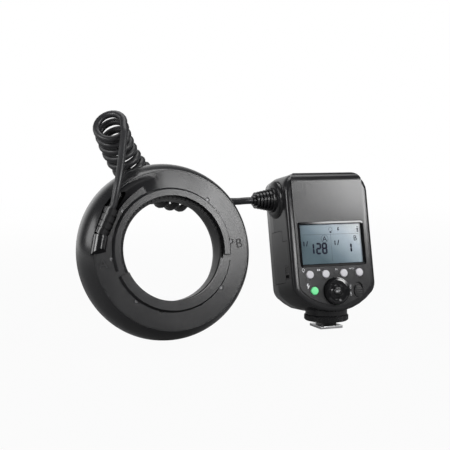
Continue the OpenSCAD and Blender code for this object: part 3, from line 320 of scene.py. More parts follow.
cord_spline.points.add(len(cord_line) - 1)
for point, place in zip(cord_spline.points, cord_line):
    point.co = (*place, 1.0)
cord_spline.use_smooth = True
curly_cord = bpy.data.objects.new("curly_cord", cord_curve)
scene.collection.objects.link(curly_cord)


def noise_at(nodes, links, where, scale, detail=3.0, rough=0.55):
    """A cloud of soft noise over the piece."""
    noise = nodes.new("ShaderNodeTexNoise")
    noise.inputs["Scale"].default_value = scale
    noise.inputs["Detail"].default_value = detail
    noise.inputs["Roughness"].default_value = rough
    links.new(where, noise.inputs["Vector"])
    return noise.outputs["Fac"]


def span(nodes, links, value, low, high, from_low=0.3, from_high=0.7):
    """The value, brought from its own range to another one."""
    ranged = nodes.new("ShaderNodeMapRange")
    ranged.inputs["From Min"].default_value = from_low
    ranged.inputs["From Max"].default_value = from_high
    ranged.inputs["To Min"].default_value = low
    ranged.inputs["To Max"].default_value = high
    links.new(value, ranged.inputs["Value"])
    return ranged.outputs["Result"]


# Fine moulded grain with broad handling marks, for every moulded plastic and rubber on the flash.
broad_scale, fine_scale, fine_share = 38.0, 420.0, 0.35
grain = bpy.data.node_groups.new("moulded_grain", "ShaderNodeTree")
for socket, kind in (("Colour", "NodeSocketColor"), ("Worn Colour", "NodeSocketColor"),
                     ("Grain Scale", "NodeSocketFloat"), ("Roughness", "NodeSocketFloat"),
                     ("Roughness Spread", "NodeSocketFloat")):
    grain.interface.new_socket(name=socket, in_out="INPUT", socket_type=kind)
for socket, kind in (("Colour", "NodeSocketColor"), ("Roughness", "NodeSocketFloat"),
                     ("Height", "NodeSocketFloat")):
    grain.interface.new_socket(name=socket, in_out="OUTPUT", socket_type=kind)
g_in = grain.nodes.new("NodeGroupInput")
g_out = grain.nodes.new("NodeGroupOutput")
g_where = grain.nodes.new("ShaderNodeTexCoord")
g_pits = grain.nodes.new("ShaderNodeTexVoronoi")
g_pits.feature = "SMOOTH_F1"
grain.links.new(g_where.outputs["Object"], g_pits.inputs["Vector"])
grain.links.new(g_in.outputs["Grain Scale"], g_pits.inputs["Scale"])
g_broad = noise_at(grain.nodes, grain.links, g_where.outputs["Object"], broad_scale)
g_fine = noise_at(grain.nodes, grain.links, g_where.outputs["Object"], fine_scale, 4.0)
g_mix = grain.nodes.new("ShaderNodeMix")
g_mix.data_type = "RGBA"
g_mask = grain.nodes.new("ShaderNodeMath")
g_mask.operation = "MULTIPLY"
grain.links.new(span(grain.nodes, grain.links, g_broad, 0.0, 1.0, 0.35, 0.7), g_mask.inputs[0])
grain.links.new(span(grain.nodes, grain.links, g_fine, 0.3, 1.0), g_mask.inputs[1])
grain.links.new(g_mask.outputs[0], g_mix.inputs["Factor"])
grain.links.new(g_in.outputs["Colour"], g_mix.inputs[6])
grain.links.new(g_in.outputs["Worn Colour"], g_mix.inputs[7])
grain.links.new(g_mix.outputs[2], g_out.inputs["Colour"])
g_rough = grain.nodes.new("ShaderNodeMath")
g_rough.operation = "MULTIPLY_ADD"
grain.links.new(span(grain.nodes, grain.links, g_broad, -0.5, 0.5), g_rough.inputs[0])
grain.links.new(g_in.outputs["Roughness Spread"], g_rough.inputs[1])
grain.links.new(g_in.outputs["Roughness"], g_rough.inputs[2])
grain.links.new(g_rough.outputs[0], g_out.inputs["Roughness"])
g_sum = grain.nodes.new("ShaderNodeMath")
g_sum.operation = "MULTIPLY_ADD"
grain.links.new(g_fine, g_sum.inputs[0])
g_sum.inputs[1].default_value = fine_share
grain.links.new(g_pits.outputs["Distance"], g_sum.inputs[2])
grain.links.new(g_sum.outputs[0], g_out.inputs["Height"])


def moulded(name, colour, worn, rough, spread=0.12, grain_scale=2600.0, bump=0.12, coat=0.0, metal=0.0):
    """A moulded or plated material: colour with handling marks, uneven gloss and a fine grain."""
    made = bpy.data.materials.new(name)
    made.use_nodes = True
    nodes, links = made.node_tree.nodes, made.node_tree.links
    paint = nodes["Principled BSDF"]
    paint.inputs["Metallic"].default_value = metal
    if coat:
        paint.inputs["Coat Weight"].default_value = coat
        paint.inputs["Coat Roughness"].default_value = 0.12
    skin = nodes.new("ShaderNodeGroup")
    skin.node_tree = grain
    skin.inputs["Colour"].default_value = (*colour, 1.0)
    skin.inputs["Worn Colour"].default_value = (*worn, 1.0)
    skin.inputs["Grain Scale"].default_value = grain_scale
    skin.inputs["Roughness"].default_value = rough
    skin.inputs["Roughness Spread"].default_value = spread
    relief = nodes.new("ShaderNodeBump")
    relief.inputs["Strength"].default_value = bump
    relief.inputs["Distance"].default_value = 0.0002
    links.new(skin.outputs["Colour"], paint.inputs["Base Color"])
    links.new(skin.outputs["Roughness"], paint.inputs["Roughness"])
    links.new(skin.outputs["Height"], relief.inputs["Height"])
    links.new(relief.outputs["Normal"], paint.inputs["Normal"])
    return made


cord_jacket = moulded("cord_jacket", (0.019, 0.019, 0.021), (0.026, 0.026, 0.028), 0.40, 0.12, 1800.0, 0.06)
cord_curve.materials.append(cord_jacket)
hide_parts("cord_lead", "cord_curls", "cord_tail")
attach(curly_cord, "flash")

# The ring's housing, rear cover, mount lip and latch jaw: glass-filled plastic mouldings with a fine
# satin texture. The cover is let into the housing's rear and held by six small screws; the lip and the
# jaw carry the lens adapter.
charcoal = moulded("charcoal_satin", (0.016, 0.016, 0.0172), (0.020, 0.020, 0.0212), 0.22, 0.05, bump=0.07)


def merged_copy(node, edge=0.0, smooth_angle=32.0):
    """A CAD node as one joined mesh with smooth flanks, its sharp edges rounded by an edge radius."""
    source = frame["nodes"][node]
    mesh = source.data.copy()
    mesh.name = node + "_skin"
    if "custom_normal" in mesh.attributes:
        mesh.attributes.remove(mesh.attributes["custom_normal"])
    work = bmesh.new()
    work.from_mesh(mesh)
    bmesh.ops.remove_doubles(work, verts=work.verts, dist=2e-6)
    if edge:
        bmesh.ops.dissolve_limit(work, angle_limit=math.radians(1.0), verts=work.verts, edges=work.edges)
        sharp = [e for e in work.edges if e.is_manifold and e.calc_face_angle() > math.radians(38)]
        bmesh.ops.bevel(work, geom=sharp, offset=edge, offset_type="OFFSET", segments=2, profile=0.5,
                        affect="EDGES", clamp_overlap=True, material=-1)
    work.to_mesh(mesh)
    work.free()
    mesh.materials.clear()
    copy = bpy.data.objects.new(node + "_skin", mesh)
    scene.collection.objects.link(copy)
    mesh.shade_smooth()
    mesh.set_sharp_from_angle(angle=math.radians(smooth_angle))
    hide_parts(node)
    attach(copy, source["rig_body"])
    return copy


def finish_nodes(material, slot, *nodes, edge=0.0):
    """Each CAD node as a merged copy in one material."""
    made = []
    for node in nodes:
        copy = merged_copy(node, edge)
        copy.data.materials.append(material)
        made.append(copy)
    return made


finish_nodes(charcoal, "charcoal_plastic", "ring_housing", "ring_rear_cover", "mount_lip", "latch_jaw")

# The bore sleeve: a black moulding that lines the ring's bore, with index teeth round its rear rim.
# It is pressed in behind the diffuser and flares towards the front.
sleeve_black = moulded("sleeve_black", (0.010, 0.010, 0.011), (0.014, 0.014, 0.015), 0.44, 0.08)


def adjust(material, socket, value):
    """One more socket of a material's paint."""
    material.node_tree.nodes["Principled BSDF"].inputs[socket].default_value = value


adjust(sleeve_black, "Specular IOR Level", 0.28)
finish_nodes(sleeve_black, "black_plastic", "bore_sleeve")

# The channel letters and the index mark on the rear cover: raised 0.25 mm in the mould, with a duller finish
# than the cover's, and painted darker all over as painted shade of what falls along their raised edges. The
# letters tell the left tube from the right one, and the mark shows the top.
mark_painted_shade = moulded("mark_painted_shade", (0.006, 0.006, 0.007), (0.009, 0.009, 0.010), 0.45, 0.10)
rear_face = 0.0226
mark_rise = 0.00025
mark_sink = 0.0001


def lettering(body, height, thick):
    """A word as a mesh about its own middle, flat on the plane and rising towards the reader."""
    words = bpy.data.curves.new("lettering", "FONT")
    words.body = body
    words.extrude = 0.5
    words.resolution_u = 4
    holder = bpy.data.objects.new("lettering", words)
    scene.collection.objects.link(holder)
    mesh = bpy.data.meshes.new_from_object(holder)
    bpy.data.objects.remove(holder)
    bpy.data.curves.remove(words)
    xs, ys = [v.co.x for v in mesh.vertices], [v.co.y for v in mesh.vertices]
    scale = height / (max(ys) - min(ys))
    middle = Vector((-(max(xs) + min(xs)) / 2, -(max(ys) + min(ys)) / 2, 0.5))
    mesh.transform(Matrix.Diagonal((scale, scale, thick, 1.0)) @ Matrix.Translation(middle))
    work = bmesh.new()
    work.from_mesh(mesh)
    bmesh.ops.remove_doubles(work, verts=work.verts, dist=1e-7)
    work.to_mesh(mesh)
    work.free()
    mesh.materials.clear()
    return mesh


def set_piece(name, mesh, place, material, body):
    """A new piece from a mesh: its place goes into the mesh, and it rides on its body."""
    mesh.transform(place)
    mesh.materials.append(material)
    piece = bpy.data.objects.new(name, mesh)
    scene.collection.objects.link(piece)
    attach(piece, body)
    return piece


channel_h = 0.0064
for letter, x, y in (("A", -0.0518, -0.0025), ("B", 0.0513, -0.0022)):
    set_piece("channel_mark_" + letter.lower(), lettering(letter, channel_h, mark_rise + mark_sink),
              ring_frame @ Matrix.Translation((x, y, rear_face - mark_sink)), mark_painted_shade,
              "flash")


def raised_shape(outlines, thick):
    """Flat shapes given their thickness upwards from the plane."""
    work = bmesh.new()
    for outline in outlines:
        work.faces.new([work.verts.new((x, y, 0)) for x, y in outline])
    made = bmesh.ops.extrude_face_region(work, geom=work.faces[:], use_keep_orig=True)
    lifted = [v for v in made["geom"] if isinstance(v, bmesh.types.BMVert)]
    bmesh.ops.translate(work, verts=lifted, vec=(0, 0, thick))
    bmesh.ops.recalc_face_normals(work, faces=work.faces)
    mesh = bpy.data.meshes.new("shape")
    work.to_mesh(mesh)
    work.free()
    return mesh


chevron = [[(-0.0016, -0.0016), (-0.0010, -0.0016), (0.0003, 0.0018), (-0.0003, 0.0018)],
           [(0.0010, -0.0016), (0.0016, -0.0016), (0.0003, 0.0018), (-0.0003, 0.0018)]]
set_piece("top_mark", raised_shape(chevron, mark_rise + mark_sink),
          ring_frame @ Matrix.Translation((-0.0036, 0.0528, rear_face - mark_sink)), mark_painted_shade,
          "flash")

# The ring's small fixings: cross-head screws in dark-plated steel, with thin black rings round their heads
# laid on the cover as painted shade of their countersinks, and the two bare wire springs under the jaw.
dark_steel = moulded("dark_plated_steel", (0.17, 0.17, 0.175), (0.13, 0.13, 0.135), 0.30, 0.12, 3000.0,
                     0.05, metal=1.0)
finish_nodes(dark_steel, "steel", "ring_screws")
screw_angles, screw_ring_r = (0, 45, 135, 180, 225, 315), 0.0452
shade_ring_inner, shade_ring_outer = 0.00110, 0.00175
shade_ring_low, shade_ring_high = 0.02228, 0.02236
shade_ring_section = ((shade_ring_inner, shade_ring_low), (shade_ring_outer, shade_ring_low), (shade_ring_outer, shade_ring_high), (shade_ring_inner, shade_ring_high))


def spin_section(work, section, axis_x, axis_y, steps):
    """A closed section of radii and heights, turned once round an upright axis."""
    loop = [work.verts.new((axis_x + r, axis_y, z)) for r, z in section]
    edges = [work.edges.new(pair) for pair in zip(loop, loop[1:] + loop[:1])]
    bmesh.ops.spin(work, geom=loop + edges, cent=(axis_x, axis_y, 0), axis=(0, 0, 1), angle=2 * math.pi,
                   steps=steps, use_merge=True)


# Thin black rings round the screw heads: painted shade of the countersinks.
shade_rings_bm = bmesh.new()
for angle in screw_angles:
    turn = math.radians(angle)
    spin_section(shade_rings_bm, shade_ring_section, screw_ring_r * math.cos(turn), screw_ring_r * math.sin(turn), 24)
bmesh.ops.recalc_face_normals(shade_rings_bm, faces=shade_rings_bm.faces)
shade_rings_mesh = bpy.data.meshes.new("screw_shade_rings")
shade_rings_bm.to_mesh(shade_rings_mesh)
shade_rings_bm.free()
set_piece("screw_shade_rings", shade_rings_mesh, ring_frame, mark_painted_shade, "flash")
spring_steel = moulded("spring_steel", (0.55, 0.55, 0.56), (0.45, 0.45, 0.46), 0.28, 0.10, 3000.0, 0.04,
                       metal=1.0)
springs = finish_nodes(spring_steel, "steel", "jaw_springs")[0]
spring_way = (ring_frame.to_3x3() @ Vector((0, 1, 0))).normalized()
spring_top = max((v.co for v in springs.data.vertices), key=lambda p: p.dot(spring_way)).copy()
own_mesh(springs)

# The cord's entry into the ring: a smooth glossy boss on the rear face and a ribbed strain-relief boot.
# The boot is soft rubber, moulded onto the cord, and lies in a groove that runs out of the face.
gloss_black = moulded("gloss_black", (0.007, 0.007, 0.008), (0.010, 0.010, 0.011), 0.22, 0.05, 900.0, 0.02,
                      0.3)
finish_nodes(gloss_black, "gloss_black", "cord_boss")
boot_rubber = moulded("boot_rubber", (0.013, 0.013, 0.014), (0.018, 0.018, 0.019), 0.27, 0.08, 1500.0, 0.05)
finish_nodes(boot_rubber, "boot_rubber", "ring_boot")

# The diffuser window over the tubes: a clear ring moulded with fine round prisms, slightly frosted.
# It is seated between the housing's front lip and the sleeve's foot.
window_inner, window_outer = 0.04145, 0.0614
window_seat, window_front, window_crown = -0.0022, -0.0040, 0.0012
prisms, prism_depth = 16, 0.0005


def on_dome(share, sunk=0.0):
    """Radius and height on the window's domed front, by the share of the way from bore to rim."""
    return (window_inner + (window_outer - window_inner) * share,
            window_front - window_crown * math.sin(math.pi * share) + sunk)


prism_line = [(window_inner, window_seat), on_dome(0)]
for k in range(prisms):
    prism_line.append(on_dome((k + 0.5) / prisms))
    prism_line.append(on_dome((k + 1) / prisms, prism_depth if k + 1 < prisms else 0.0))
prism_line.append((window_outer, window_seat))
window_bm = bmesh.new()
spin_section(window_bm, prism_line, 0, 0, 96)
bmesh.ops.remove_doubles(window_bm, verts=window_bm.verts, dist=1e-6)
bmesh.ops.recalc_face_normals(window_bm, faces=window_bm.faces)
window_mesh = bpy.data.meshes.new("diffuser_window_skin")
window_bm.to_mesh(window_mesh)
window_bm.free()
frosted = moulded("frosted_clear", (0.92, 0.93, 0.94), (0.89, 0.90, 0.91), 0.36, 0.06, 1200.0, 0.01)
adjust(frosted, "Transmission Weight", 0.3)
adjust(frosted, "IOR", 1.49)
window = set_piece("diffuser_window_skin", window_mesh, ring_frame, frosted, "flash")
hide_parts("diffuser_window")

# Behind the window: a bright anodised trough, two curved flash tubes in white sockets, and four focus lamps.
# The trough is spun foil on a moulded carrier; the tubes are quartz glass; the lamps are clear epoxy domes.
bright_foil = moulded("bright_foil", (0.88, 0.88, 0.87), (0.80, 0.80, 0.79), 0.16, 0.10, 1400.0, 0.05,
                      metal=1.0)
finish_nodes(bright_foil, "reflector_foil", "reflector")
tube_glass = moulded("tube_glass", (0.95, 0.97, 0.98), (0.92, 0.94, 0.95), 0.05, 0.03, 900.0, 0.01)
adjust(tube_glass, "Transmission Weight", 0.9)
finish_nodes(tube_glass, "tube_glass", "flash_tube_a", "flash_tube_b")
socket_white = moulded("socket_white", (0.78, 0.78, 0.76), (0.72, 0.72, 0.70), 0.45, 0.10, 2000.0, 0.06)
finish_nodes(socket_white, "white_plastic", "tube_sockets", edge=0.0002)
lamp_epoxy = moulded("lamp_epoxy", (0.93, 0.92, 0.80), (0.90, 0.88, 0.74), 0.10, 0.05, 900.0, 0.01, 0.4)
adjust(lamp_epoxy, "Transmission Weight", 0.4)
finish_nodes(lamp_epoxy, "lamp", "focus_lamps")

# The circuit boards: glass-fibre laminate under green solder mask, with copper runs that show through it.
# The ring's board lies behind the trough, the controller's behind its keys.
board = bpy.data.materials.new("green_board")
board.use_nodes = True
b_nodes, b_links = board.node_tree.nodes, board.node_tree.links
b_paint = b_nodes["Principled BSDF"]
b_where = b_nodes.new("ShaderNodeTexCoord")
runs = b_nodes.new("ShaderNodeTexBrick")
runs.inputs["Scale"].default_value = 260.0
runs.inputs["Color1"].default_value = (0.010, 0.085, 0.030, 1.0)
runs.inputs["Color2"].default_value = (0.014, 0.110, 0.038, 1.0)
runs.inputs["Mortar"].default_value = (0.035, 0.190, 0.070, 1.0)
runs.inputs["Mortar Size"].default_value = 0.05
b_links.new(b_where.outputs["Object"], runs.inputs["Vector"])
b_links.new(runs.outputs["Color"], b_paint.inputs["Base Color"])
b_links.new(span(b_nodes, b_links, noise_at(b_nodes, b_links, b_where.outputs["Object"], 90.0), 0.28, 0.42),
            b_paint.inputs["Roughness"])
b_relief = b_nodes.new("ShaderNodeBump")
b_relief.inputs["Strength"].default_value = 0.2
b_relief.inputs["Distance"].default_value = 0.0001
b_links.new(runs.outputs["Fac"], b_relief.inputs["Height"])
b_links.new(b_relief.outputs["Normal"], b_paint.inputs["Normal"])
finish_nodes(board, "board", "ring_board", "main_board")

# The controller's shells: a front cover whose panel rolls over the top, and a rear shell behind it.
# Both are the ring's charcoal plastic, joined by four long screws from the subject's side.
finish_nodes(charcoal, "charcoal_plastic", "front_cover", "rear_shell")
finish_nodes(dark_steel, "steel", "case_screws")

# The cord's entry into the controller: a collar and a ribbed rubber boot on the left flank.
# The boot is moulded onto the cord, and its collar is trapped between the two shells.
finish_nodes(boot_rubber, "boot_rubber", "controller_boot", "gland_collar")

# The display: a glossy black frame, a thin anti-glare pane and a reflective liquid-crystal module behind it.
# The frame is let into the front cover, and its crown falls a little outwards; the module's segments show
# dark on blue-grey, and the module's colour carries a painted highlight that lightens it towards the upper
# right.
panel_frame = body_frame @ Matrix.Rotation(math.radians(90), 4, "X")
display_up = 0.036
frame_w, frame_h, frame_round = 0.0555, 0.034, 0.0023
frame_back, frame_front, frame_crown = -0.0012, 0.0004, 0.00032
frame_steps = ((0.00014, 0.0001), (0.00142, 0.00022), (0.00038, -0.00060), (0.00016, -0.00010))
frame_bm = bmesh.new()
frame_corners = [frame_bm.verts.new((x * frame_w / 2, display_up + y * frame_h / 2, frame_back))
                 for x, y in ((-1, -1), (1, -1), (1, 1), (-1, 1))]
frame_bm.faces.new(frame_corners)
bmesh.ops.bevel(frame_bm, geom=frame_corners, offset=frame_round, offset_type="OFFSET", segments=6,
                profile=0.5, affect="VERTICES", material=-1)
frame_bm.faces.ensure_lookup_table()
frame_base = frame_bm.faces[0]
raised = bmesh.ops.extrude_face_region(frame_bm, geom=[frame_base], use_keep_orig=True)
frame_top = [f for f in raised["geom"] if isinstance(f, bmesh.types.BMFace)][0]
bmesh.ops.translate(frame_bm, verts=frame_top.verts, vec=(0, 0, frame_front - frame_back - frame_crown))
for inset, rise in frame_steps:
    bmesh.ops.inset_region(frame_bm, faces=[frame_top], thickness=inset, depth=0.0, use_even_offset=True)
    bmesh.ops.translate(frame_bm, verts=frame_top.verts, vec=(0, 0, rise))
opening = bmesh.ops.extrude_face_region(frame_bm, geom=[frame_top])
opening_face = [f for f in opening["geom"] if isinstance(f, bmesh.types.BMFace)][0]
opening_level = opening_face.verts[0].co.z
bmesh.ops.translate(frame_bm, verts=opening_face.verts, vec=(0, 0, frame_back - opening_level))
opening_edges = list(opening_face.edges)
base_edges = list(frame_base.edges)
bmesh.ops.delete(frame_bm, geom=[opening_face, frame_top, frame_base], context="FACES_ONLY")
bmesh.ops.bridge_loops(frame_bm, edges=opening_edges + base_edges)
bmesh.ops.recalc_face_normals(frame_bm, faces=frame_bm.faces)
frame_mesh = bpy.data.meshes.new("lcd_bezel_skin")
frame_bm.to_mesh(frame_mesh)
frame_bm.free()
frame_mesh.shade_smooth()
frame_mesh.set_sharp_from_angle(angle=math.radians(20))
frame_gloss = moulded("frame_gloss", (0.002, 0.002, 0.003), (0.004, 0.004, 0.005), 0.07, 0.02, 900.0, 0.0)
display_frame = set_piece("lcd_bezel_skin", frame_mesh, panel_frame, frame_gloss, "flash")
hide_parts("lcd_bezel")

pane = bpy.data.materials.new("display_pane")
pane.use_nodes = True
p_nodes, p_links = pane.node_tree.nodes, pane.node_tree.links
p_paint = p_nodes["Principled BSDF"]
p_paint.inputs["Base Color"].default_value = (0.02, 0.025, 0.03, 1.0)
p_where = p_nodes.new("ShaderNodeTexCoord")
p_links.new(span(p_nodes, p_links, noise_at(p_nodes, p_links, p_where.outputs["Object"], 60.0), 0.10, 0.16),
            p_paint.inputs["Roughness"])
p_links.new(span(p_nodes, p_links, noise_at(p_nodes, p_links, p_where.outputs["Object"], 140.0), 0.05, 0.08),
            p_paint.inputs["Alpha"])
finish_nodes(pane, "display_glass", "lcd_glass")

crystal_left, crystal_low = -0.0256, display_up - 0.015
crystal_w, crystal_h = 0.0513, 0.0300
highlight_rise_share, highlight_across_share = 0.42, 0.58
crystal = bpy.data.materials.new("display_crystal")
crystal.use_nodes = True
c_nodes, c_links = crystal.node_tree.nodes, crystal.node_tree.links
c_paint = c_nodes["Principled BSDF"]
c_where = c_nodes.new("ShaderNodeTexCoord")
c_turn = c_nodes.new("ShaderNodeMapping")
c_turn.vector_type = "TEXTURE"
c_turn.inputs["Location"].default_value = panel_frame @ Vector((crystal_left, crystal_low, 0))
c_turn.inputs["Rotation"].default_value = panel_frame.to_euler()
c_turn.inputs["Scale"].default_value = (crystal_w, crystal_h, 1.0)
c_links.new(c_where.outputs["Object"], c_turn.inputs["Vector"])
c_parts = c_nodes.new("ShaderNodeSeparateXYZ")
c_links.new(c_turn.outputs["Vector"], c_parts.inputs[0])
c_rise = c_nodes.new("ShaderNodeMath")
c_rise.operation = "MULTIPLY_ADD"
c_rise.inputs[1].default_value = highlight_rise_share
c_links.new(c_parts.outputs["Y"], c_rise.inputs[0])
c_across = c_nodes.new("ShaderNodeMath")
c_across.operation = "MULTIPLY"
c_across.inputs[1].default_value = highlight_across_share
c_links.new(c_parts.outputs["X"], c_across.inputs[0])
c_links.new(c_across.outputs[0], c_rise.inputs[2])
# Painted highlight: the module's colour lightens from dark blue-grey at the lower left to near-white at the
# upper right.
c_painted_highlight = c_nodes.new("ShaderNodeValToRGB")
c_painted_highlight.color_ramp.elements[0].position = 0.25
c_painted_highlight.color_ramp.elements[0].color = (0.110, 0.170, 0.200, 1.0)
c_painted_highlight.color_ramp.elements[1].position = 0.95
c_painted_highlight.color_ramp.elements[1].color = (0.94, 0.98, 1.0, 1.0)
for level, highlight_tint in ((0.45, (0.240, 0.320, 0.370)), (0.70, (0.58, 0.68, 0.76))):
    c_painted_highlight.color_ramp.elements.new(level).color = (*highlight_tint, 1.0)
c_links.new(c_rise.outputs[0], c_painted_highlight.inputs["Fac"])
c_links.new(c_painted_highlight.outputs["Color"], c_paint.inputs["Base Color"])
c_paint.inputs["Specular IOR Level"].default_value = 0.1
c_links.new(span(c_nodes, c_links, noise_at(c_nodes, c_links, c_where.outputs["Object"], 900.0), 0.34, 0.42),
            c_paint.inputs["Roughness"])
finish_nodes(crystal, "display", "lcd_module")

segment_depth, segment_t = -0.00127, 0.00004


def stroke(a, b, half):
    """The outline of a display segment: a bar from a to b with pointed ends."""
    a, b = Vector(a), Vector(b)
    ahead = (b - a).normalized() * half
    side = Vector((-ahead.y, ahead.x))
    return [a, a + ahead + side, b - ahead + side, b, b - ahead - side, a + ahead - side]


def digit(segments, x, low, w, h, half):
    """The lit segments of one seven-segment figure, given by the letters of its bars."""
    top, mid, gap = low + h, low + h / 2, half * -0.3
    bars = {"a": ((x + gap, top), (x + w - gap, top)), "g": ((x + gap, mid), (x + w - gap, mid)),
            "d": ((x + gap, low), (x + w - gap, low)), "f": ((x, mid + gap), (x, top - gap)),
            "b": ((x + w, mid + gap), (x + w, top - gap)), "e": ((x, low + gap), (x, mid - gap)),
            "c": ((x + w, low + gap), (x + w, mid - gap))}
    return [stroke(*bars[s], half) for s in segments]


big, small = 0.00072, 0.00046
slash, slash_lean = small * 0.8, 0.0012
figure_low, figure_w, figure_h = 0.0290, 0.0031, 0.0074
fraction_low, fraction_w, fraction_h = 0.0348, 0.0034, 0.0036
lit = digit("bc", -0.0193, figure_low, 0.0040, figure_h, big)
lit += digit("abged", -0.0126, figure_low, figure_w, figure_h, big)
lit += digit("abcdefg", -0.0076, figure_low, figure_w, figure_h, big)
lit += digit("bc", 0.0124, 0.0293, 0.0041, 0.0062, big)
for digit_x, slash_x in ((-0.0264, -0.0210), (-0.0003, 0.0052)):
    lit += digit("bc", digit_x, fraction_low, fraction_w, fraction_h, small)
    lit += [stroke((slash_x, 0.0346), (slash_x + slash_lean, 0.0388), slash)]
lit += [stroke((-0.0235, 0.04345), (0.0240, 0.0431), 0.00007)]
lit += [stroke((-0.00015, 0.0431), (-0.0002, 0.0227), 0.00006)]
cell_low, cell_step = 0.0448, 0.0011
lit += [stroke((-0.0009, cell_low), (0.0011, cell_low), 0.00045)]
lit += [stroke((0.0227, 0.0484), (0.0237, 0.0484), 0.00030)]
for k in range(3):
    cell_up = cell_low + cell_step * k
    lit += [stroke((0.0223, cell_up), (0.0241, cell_up), 0.00036)]
lit += [[(0.0064, 0.0484), (0.0075, 0.0484), (0.0069, 0.0470), (0.0077, 0.0470), (0.0061, 0.0449),
         (0.0066, 0.0463), (0.0059, 0.0463)]]
bulb_middle, badge_middle = Vector((0.0001, 0.0469)), Vector((-0.0054, 0.0400))
for middle, radius, parts in ((bulb_middle, 0.0016, 10), (badge_middle, 0.0029, 24)):
    rim = [middle + radius * Vector((math.cos(2 * math.pi * k / parts), math.sin(2 * math.pi * k / parts)))
           for k in range(parts + 1)]
    lit += [stroke(a, b, 0.00010) for a, b in zip(rim, rim[1:])]
ink = moulded("display_ink", (0.006, 0.007, 0.026), (0.008, 0.009, 0.030), 0.4, 0.1, 3000.0, 0.02)
adjust(ink, "Specular IOR Level", 0.1)
set_piece("display_segments", raised_shape(lit, segment_t),
          panel_frame @ Matrix.Translation((0, 0, segment_depth)), ink, "flash")
letter_h = 0.0038
for letter, (x, y) in (("A", badge_middle), ("B", (0.0207, 0.0397))):
    set_piece("display_letter_" + letter.lower(), lettering(letter, letter_h, segment_t),
              panel_frame @ Matrix.Translation((x, y, segment_depth)), ink, "flash")

# The keys: four grey function keys in a row and the green test key, dished caps moulded in one piece each.
# Each stands in its own hole in the panel and is pressed against a small switch on the board.
key_grey = moulded("key_grey", (0.62, 0.61, 0.64), (0.57, 0.56, 0.59), 0.4, 0.08, 2000.0, 0.05)
finish_nodes(key_grey, "key_grey", "function_button_1", "function_button_2", "function_button_3",
             "function_button_4", edge=0.0002)
key_green = moulded("key_green", (0.18, 0.90, 0.36), (0.15, 0.82, 0.31), 0.4, 0.08, 2000.0, 0.05)
finish_nodes(key_green, "key_green", "test_button", edge=0.0002)
black_satin = moulded("black_satin", (0.007, 0.007, 0.008), (0.011, 0.011, 0.012), 0.28, 0.08, bump=0.08)
finish_nodes(black_satin, "black_plastic", "switches")

# The legends beside the keys: screen-printed in matt white straight onto the panel.
# Plain signs only: a lamp, two groups, function and mode words, a flash bolt, and the switch's two words.
legend_white = moulded("legend_white", (0.72, 0.72, 0.74), (0.62, 0.62, 0.64), 0.5, 0.1, 3000.0, 0.04)
legend_t, legend_sink = 0.00004, 0.00001
legend_place = panel_frame @ Matrix.Translation((0, 0, -legend_sink))
lamp_middle, lamp_r = Vector((-0.0259, 0.0170)), 0.0012
lamp_rim = [lamp_middle + lamp_r * Vector((math.cos(math.pi * k / 3), math.sin(math.pi * k / 3)))
            for k in range(7)]
printed = [stroke(a, b, 0.00016) for a, b in zip(lamp_rim, lamp_rim[1:])]
printed += [stroke((-0.0263, 0.0155), (-0.0255, 0.0155), 0.00022)]
group_half, group_low, group_high = 0.0005, 0.0159, 0.0171
for x in (-0.01400, -0.01255):
    left, right = x - group_half, x + group_half
    printed += [[(left, group_low), (right, group_low), (right, group_high), (left, group_high)]]
printed += [[(-0.0236, 0.0068), (-0.0226, 0.0068), (-0.0231, 0.0053), (-0.0216, 0.0053), (-0.0226, 0.0038),
             (-0.0220, 0.0038), (-0.0236, 0.0028), (-0.0236, 0.0040), (-0.0231, 0.0040), (-0.0242, 0.0054)]]
set_piece("panel_signs", raised_shape(printed, legend_t), legend_place, legend_white, "flash")
for name, word, height, x, y, turn in (("function_word", "Fn", 0.0014, 0.0017, 0.0164, 0),
                                       ("mode_word", "MODE", 0.0011, 0.0146, 0.0164, 0),
                                       ("on_word", "ON", 0.0013, 0.0123, 0.0026, 90),
                                       ("off_word", "OFF", 0.0013, 0.0123, -0.0026, 90)):
    set_piece(name, lettering(word, height, legend_t),
              legend_place @ Matrix.Translation((x, y, 0)) @ Matrix.Rotation(math.radians(turn), 4, "Z"),
              legend_white, "flash")

# The dial and the button in its middle: a notched black wheel on a hub, whose rim falls outwards, and a
# dished push button. The wheel turns on the encoder's hub without limit; the button's word is printed.
dial_black = moulded("dial_black", (0.008, 0.008, 0.009), (0.012, 0.012, 0.013), 0.12, 0.04, 1500.0, 0.02,
                     0.2)
wheel = finish_nodes(dial_black, "black_plastic", "dial")[0]
wheel_front, wheel_rim, rim_foot = 0.0030, 0.0080, 0.0019
rim_fall = math.tan(math.radians(13))
to_panel = panel_frame.inverted()
for vert in wheel.data.vertices:
    place = to_panel @ vert.co
    reach = math.hypot(place.x, place.y)
    if reach > wheel_rim and place.z > rim_foot:
        place.z = wheel_front - (reach - wheel_rim) * rim_fall
        vert.co = panel_frame @ place
finish_nodes(black_satin, "black_plastic", "encoder")
finish_nodes(gloss_black, "black_plastic", "set_button", edge=0.00015)
button_top, word_h, word_t = 0.0031, 0.0014, 0.00022
set_piece("set_word", lettering("SET", word_h, word_t),
          panel_frame @ Matrix.Translation((0, -0.0003, button_top)), legend_white, "set_button")

# The power switch: a ribbed black slider in a rounded recess, moved up and down by a fingertip.
# Its stem reaches through a slot in the panel to the switch on the board.
finish_nodes(sleeve_black, "black_plastic", "power_switch", edge=0.00015)

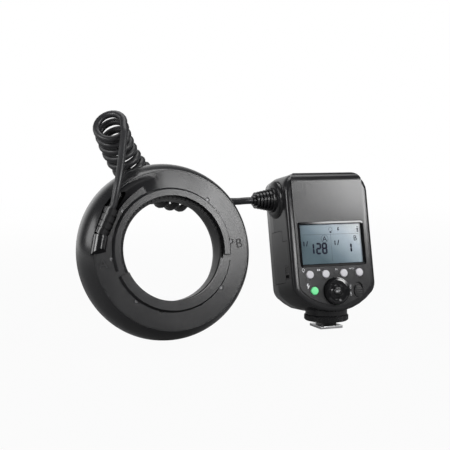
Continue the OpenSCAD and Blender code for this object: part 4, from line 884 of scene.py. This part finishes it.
# The battery: a pack with its own side lid, drawn out to the left, and the sliding latch that holds it.
# The bay is a black moulding inside the shells, and its contacts are gilded springs.
finish_nodes(charcoal, "charcoal_plastic", "battery")
finish_nodes(black_satin, "black_plastic", "battery_latch", "battery_bay")
gilt = moulded("contact_gilt", (0.85, 0.62, 0.26), (0.70, 0.52, 0.24), 0.25, 0.10, 2500.0, 0.04, metal=1.0)
finish_nodes(gilt, "contact_gold", "battery_contacts")
film = moulded("capacitor_film", (0.020, 0.022, 0.035), (0.028, 0.030, 0.044), 0.28, 0.08, 1200.0, 0.03, 0.2)
finish_nodes(film, "sleeve_film", "capacitor", edge=0.0006)

# The focus-assist window on the subject's side: deep red acrylic in front of the assist lamp.
# It is moulded with upright prisms that spread the lamp's pattern, and glued into a recess of the rear shell.
assist_w, assist_h, assist_up = 0.0239, 0.0109, 0.066
assist_back, assist_front, assist_ribs, assist_rib_rise = 0.0465, 0.0477, 12, 0.0002
assist_line = [(-assist_w / 2, assist_back), (-assist_w / 2, assist_front)]
for k in range(assist_ribs):
    assist_line.append((assist_w * ((k + 0.5) / assist_ribs - 0.5), assist_front + assist_rib_rise))
    assist_line.append((assist_w * ((k + 1) / assist_ribs - 0.5), assist_front))
assist_line.append((assist_w / 2, assist_back))
red_window = moulded("red_window", (0.42, 0.010, 0.014), (0.36, 0.008, 0.012), 0.12, 0.05, 900.0, 0.01, 0.5)
adjust(red_window, "Transmission Weight", 0.3)
assist_window = set_piece("assist_window_skin", raised_shape([assist_line], assist_h),
                          body_frame @ Matrix.Translation((0, 0, assist_up - assist_h / 2)), red_window,
                          "flash")
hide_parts("assist_window")

# The shoe: a round base under the controller, the knurled lock ring, the clamp plate, the lock pin and the
# foot. Base, ring and plate are black mouldings; the foot is nickel-plated brass with gilded contacts and
# four screws.
finish_nodes(black_satin, "black_plastic", "shoe_base", "lock_ring", "clamp_plate")
bright_plate = moulded("bright_plate", (0.93, 0.93, 0.94), (0.85, 0.85, 0.86), 0.30, 0.10, 2200.0, 0.05,
                       metal=1.0)
finish_nodes(bright_plate, "foot_metal", "shoe_foot", edge=0.00015)
finish_nodes(spring_steel, "steel", "lock_pin", "foot_screws")
finish_nodes(gilt, "contact_gold", "shoe_contacts")
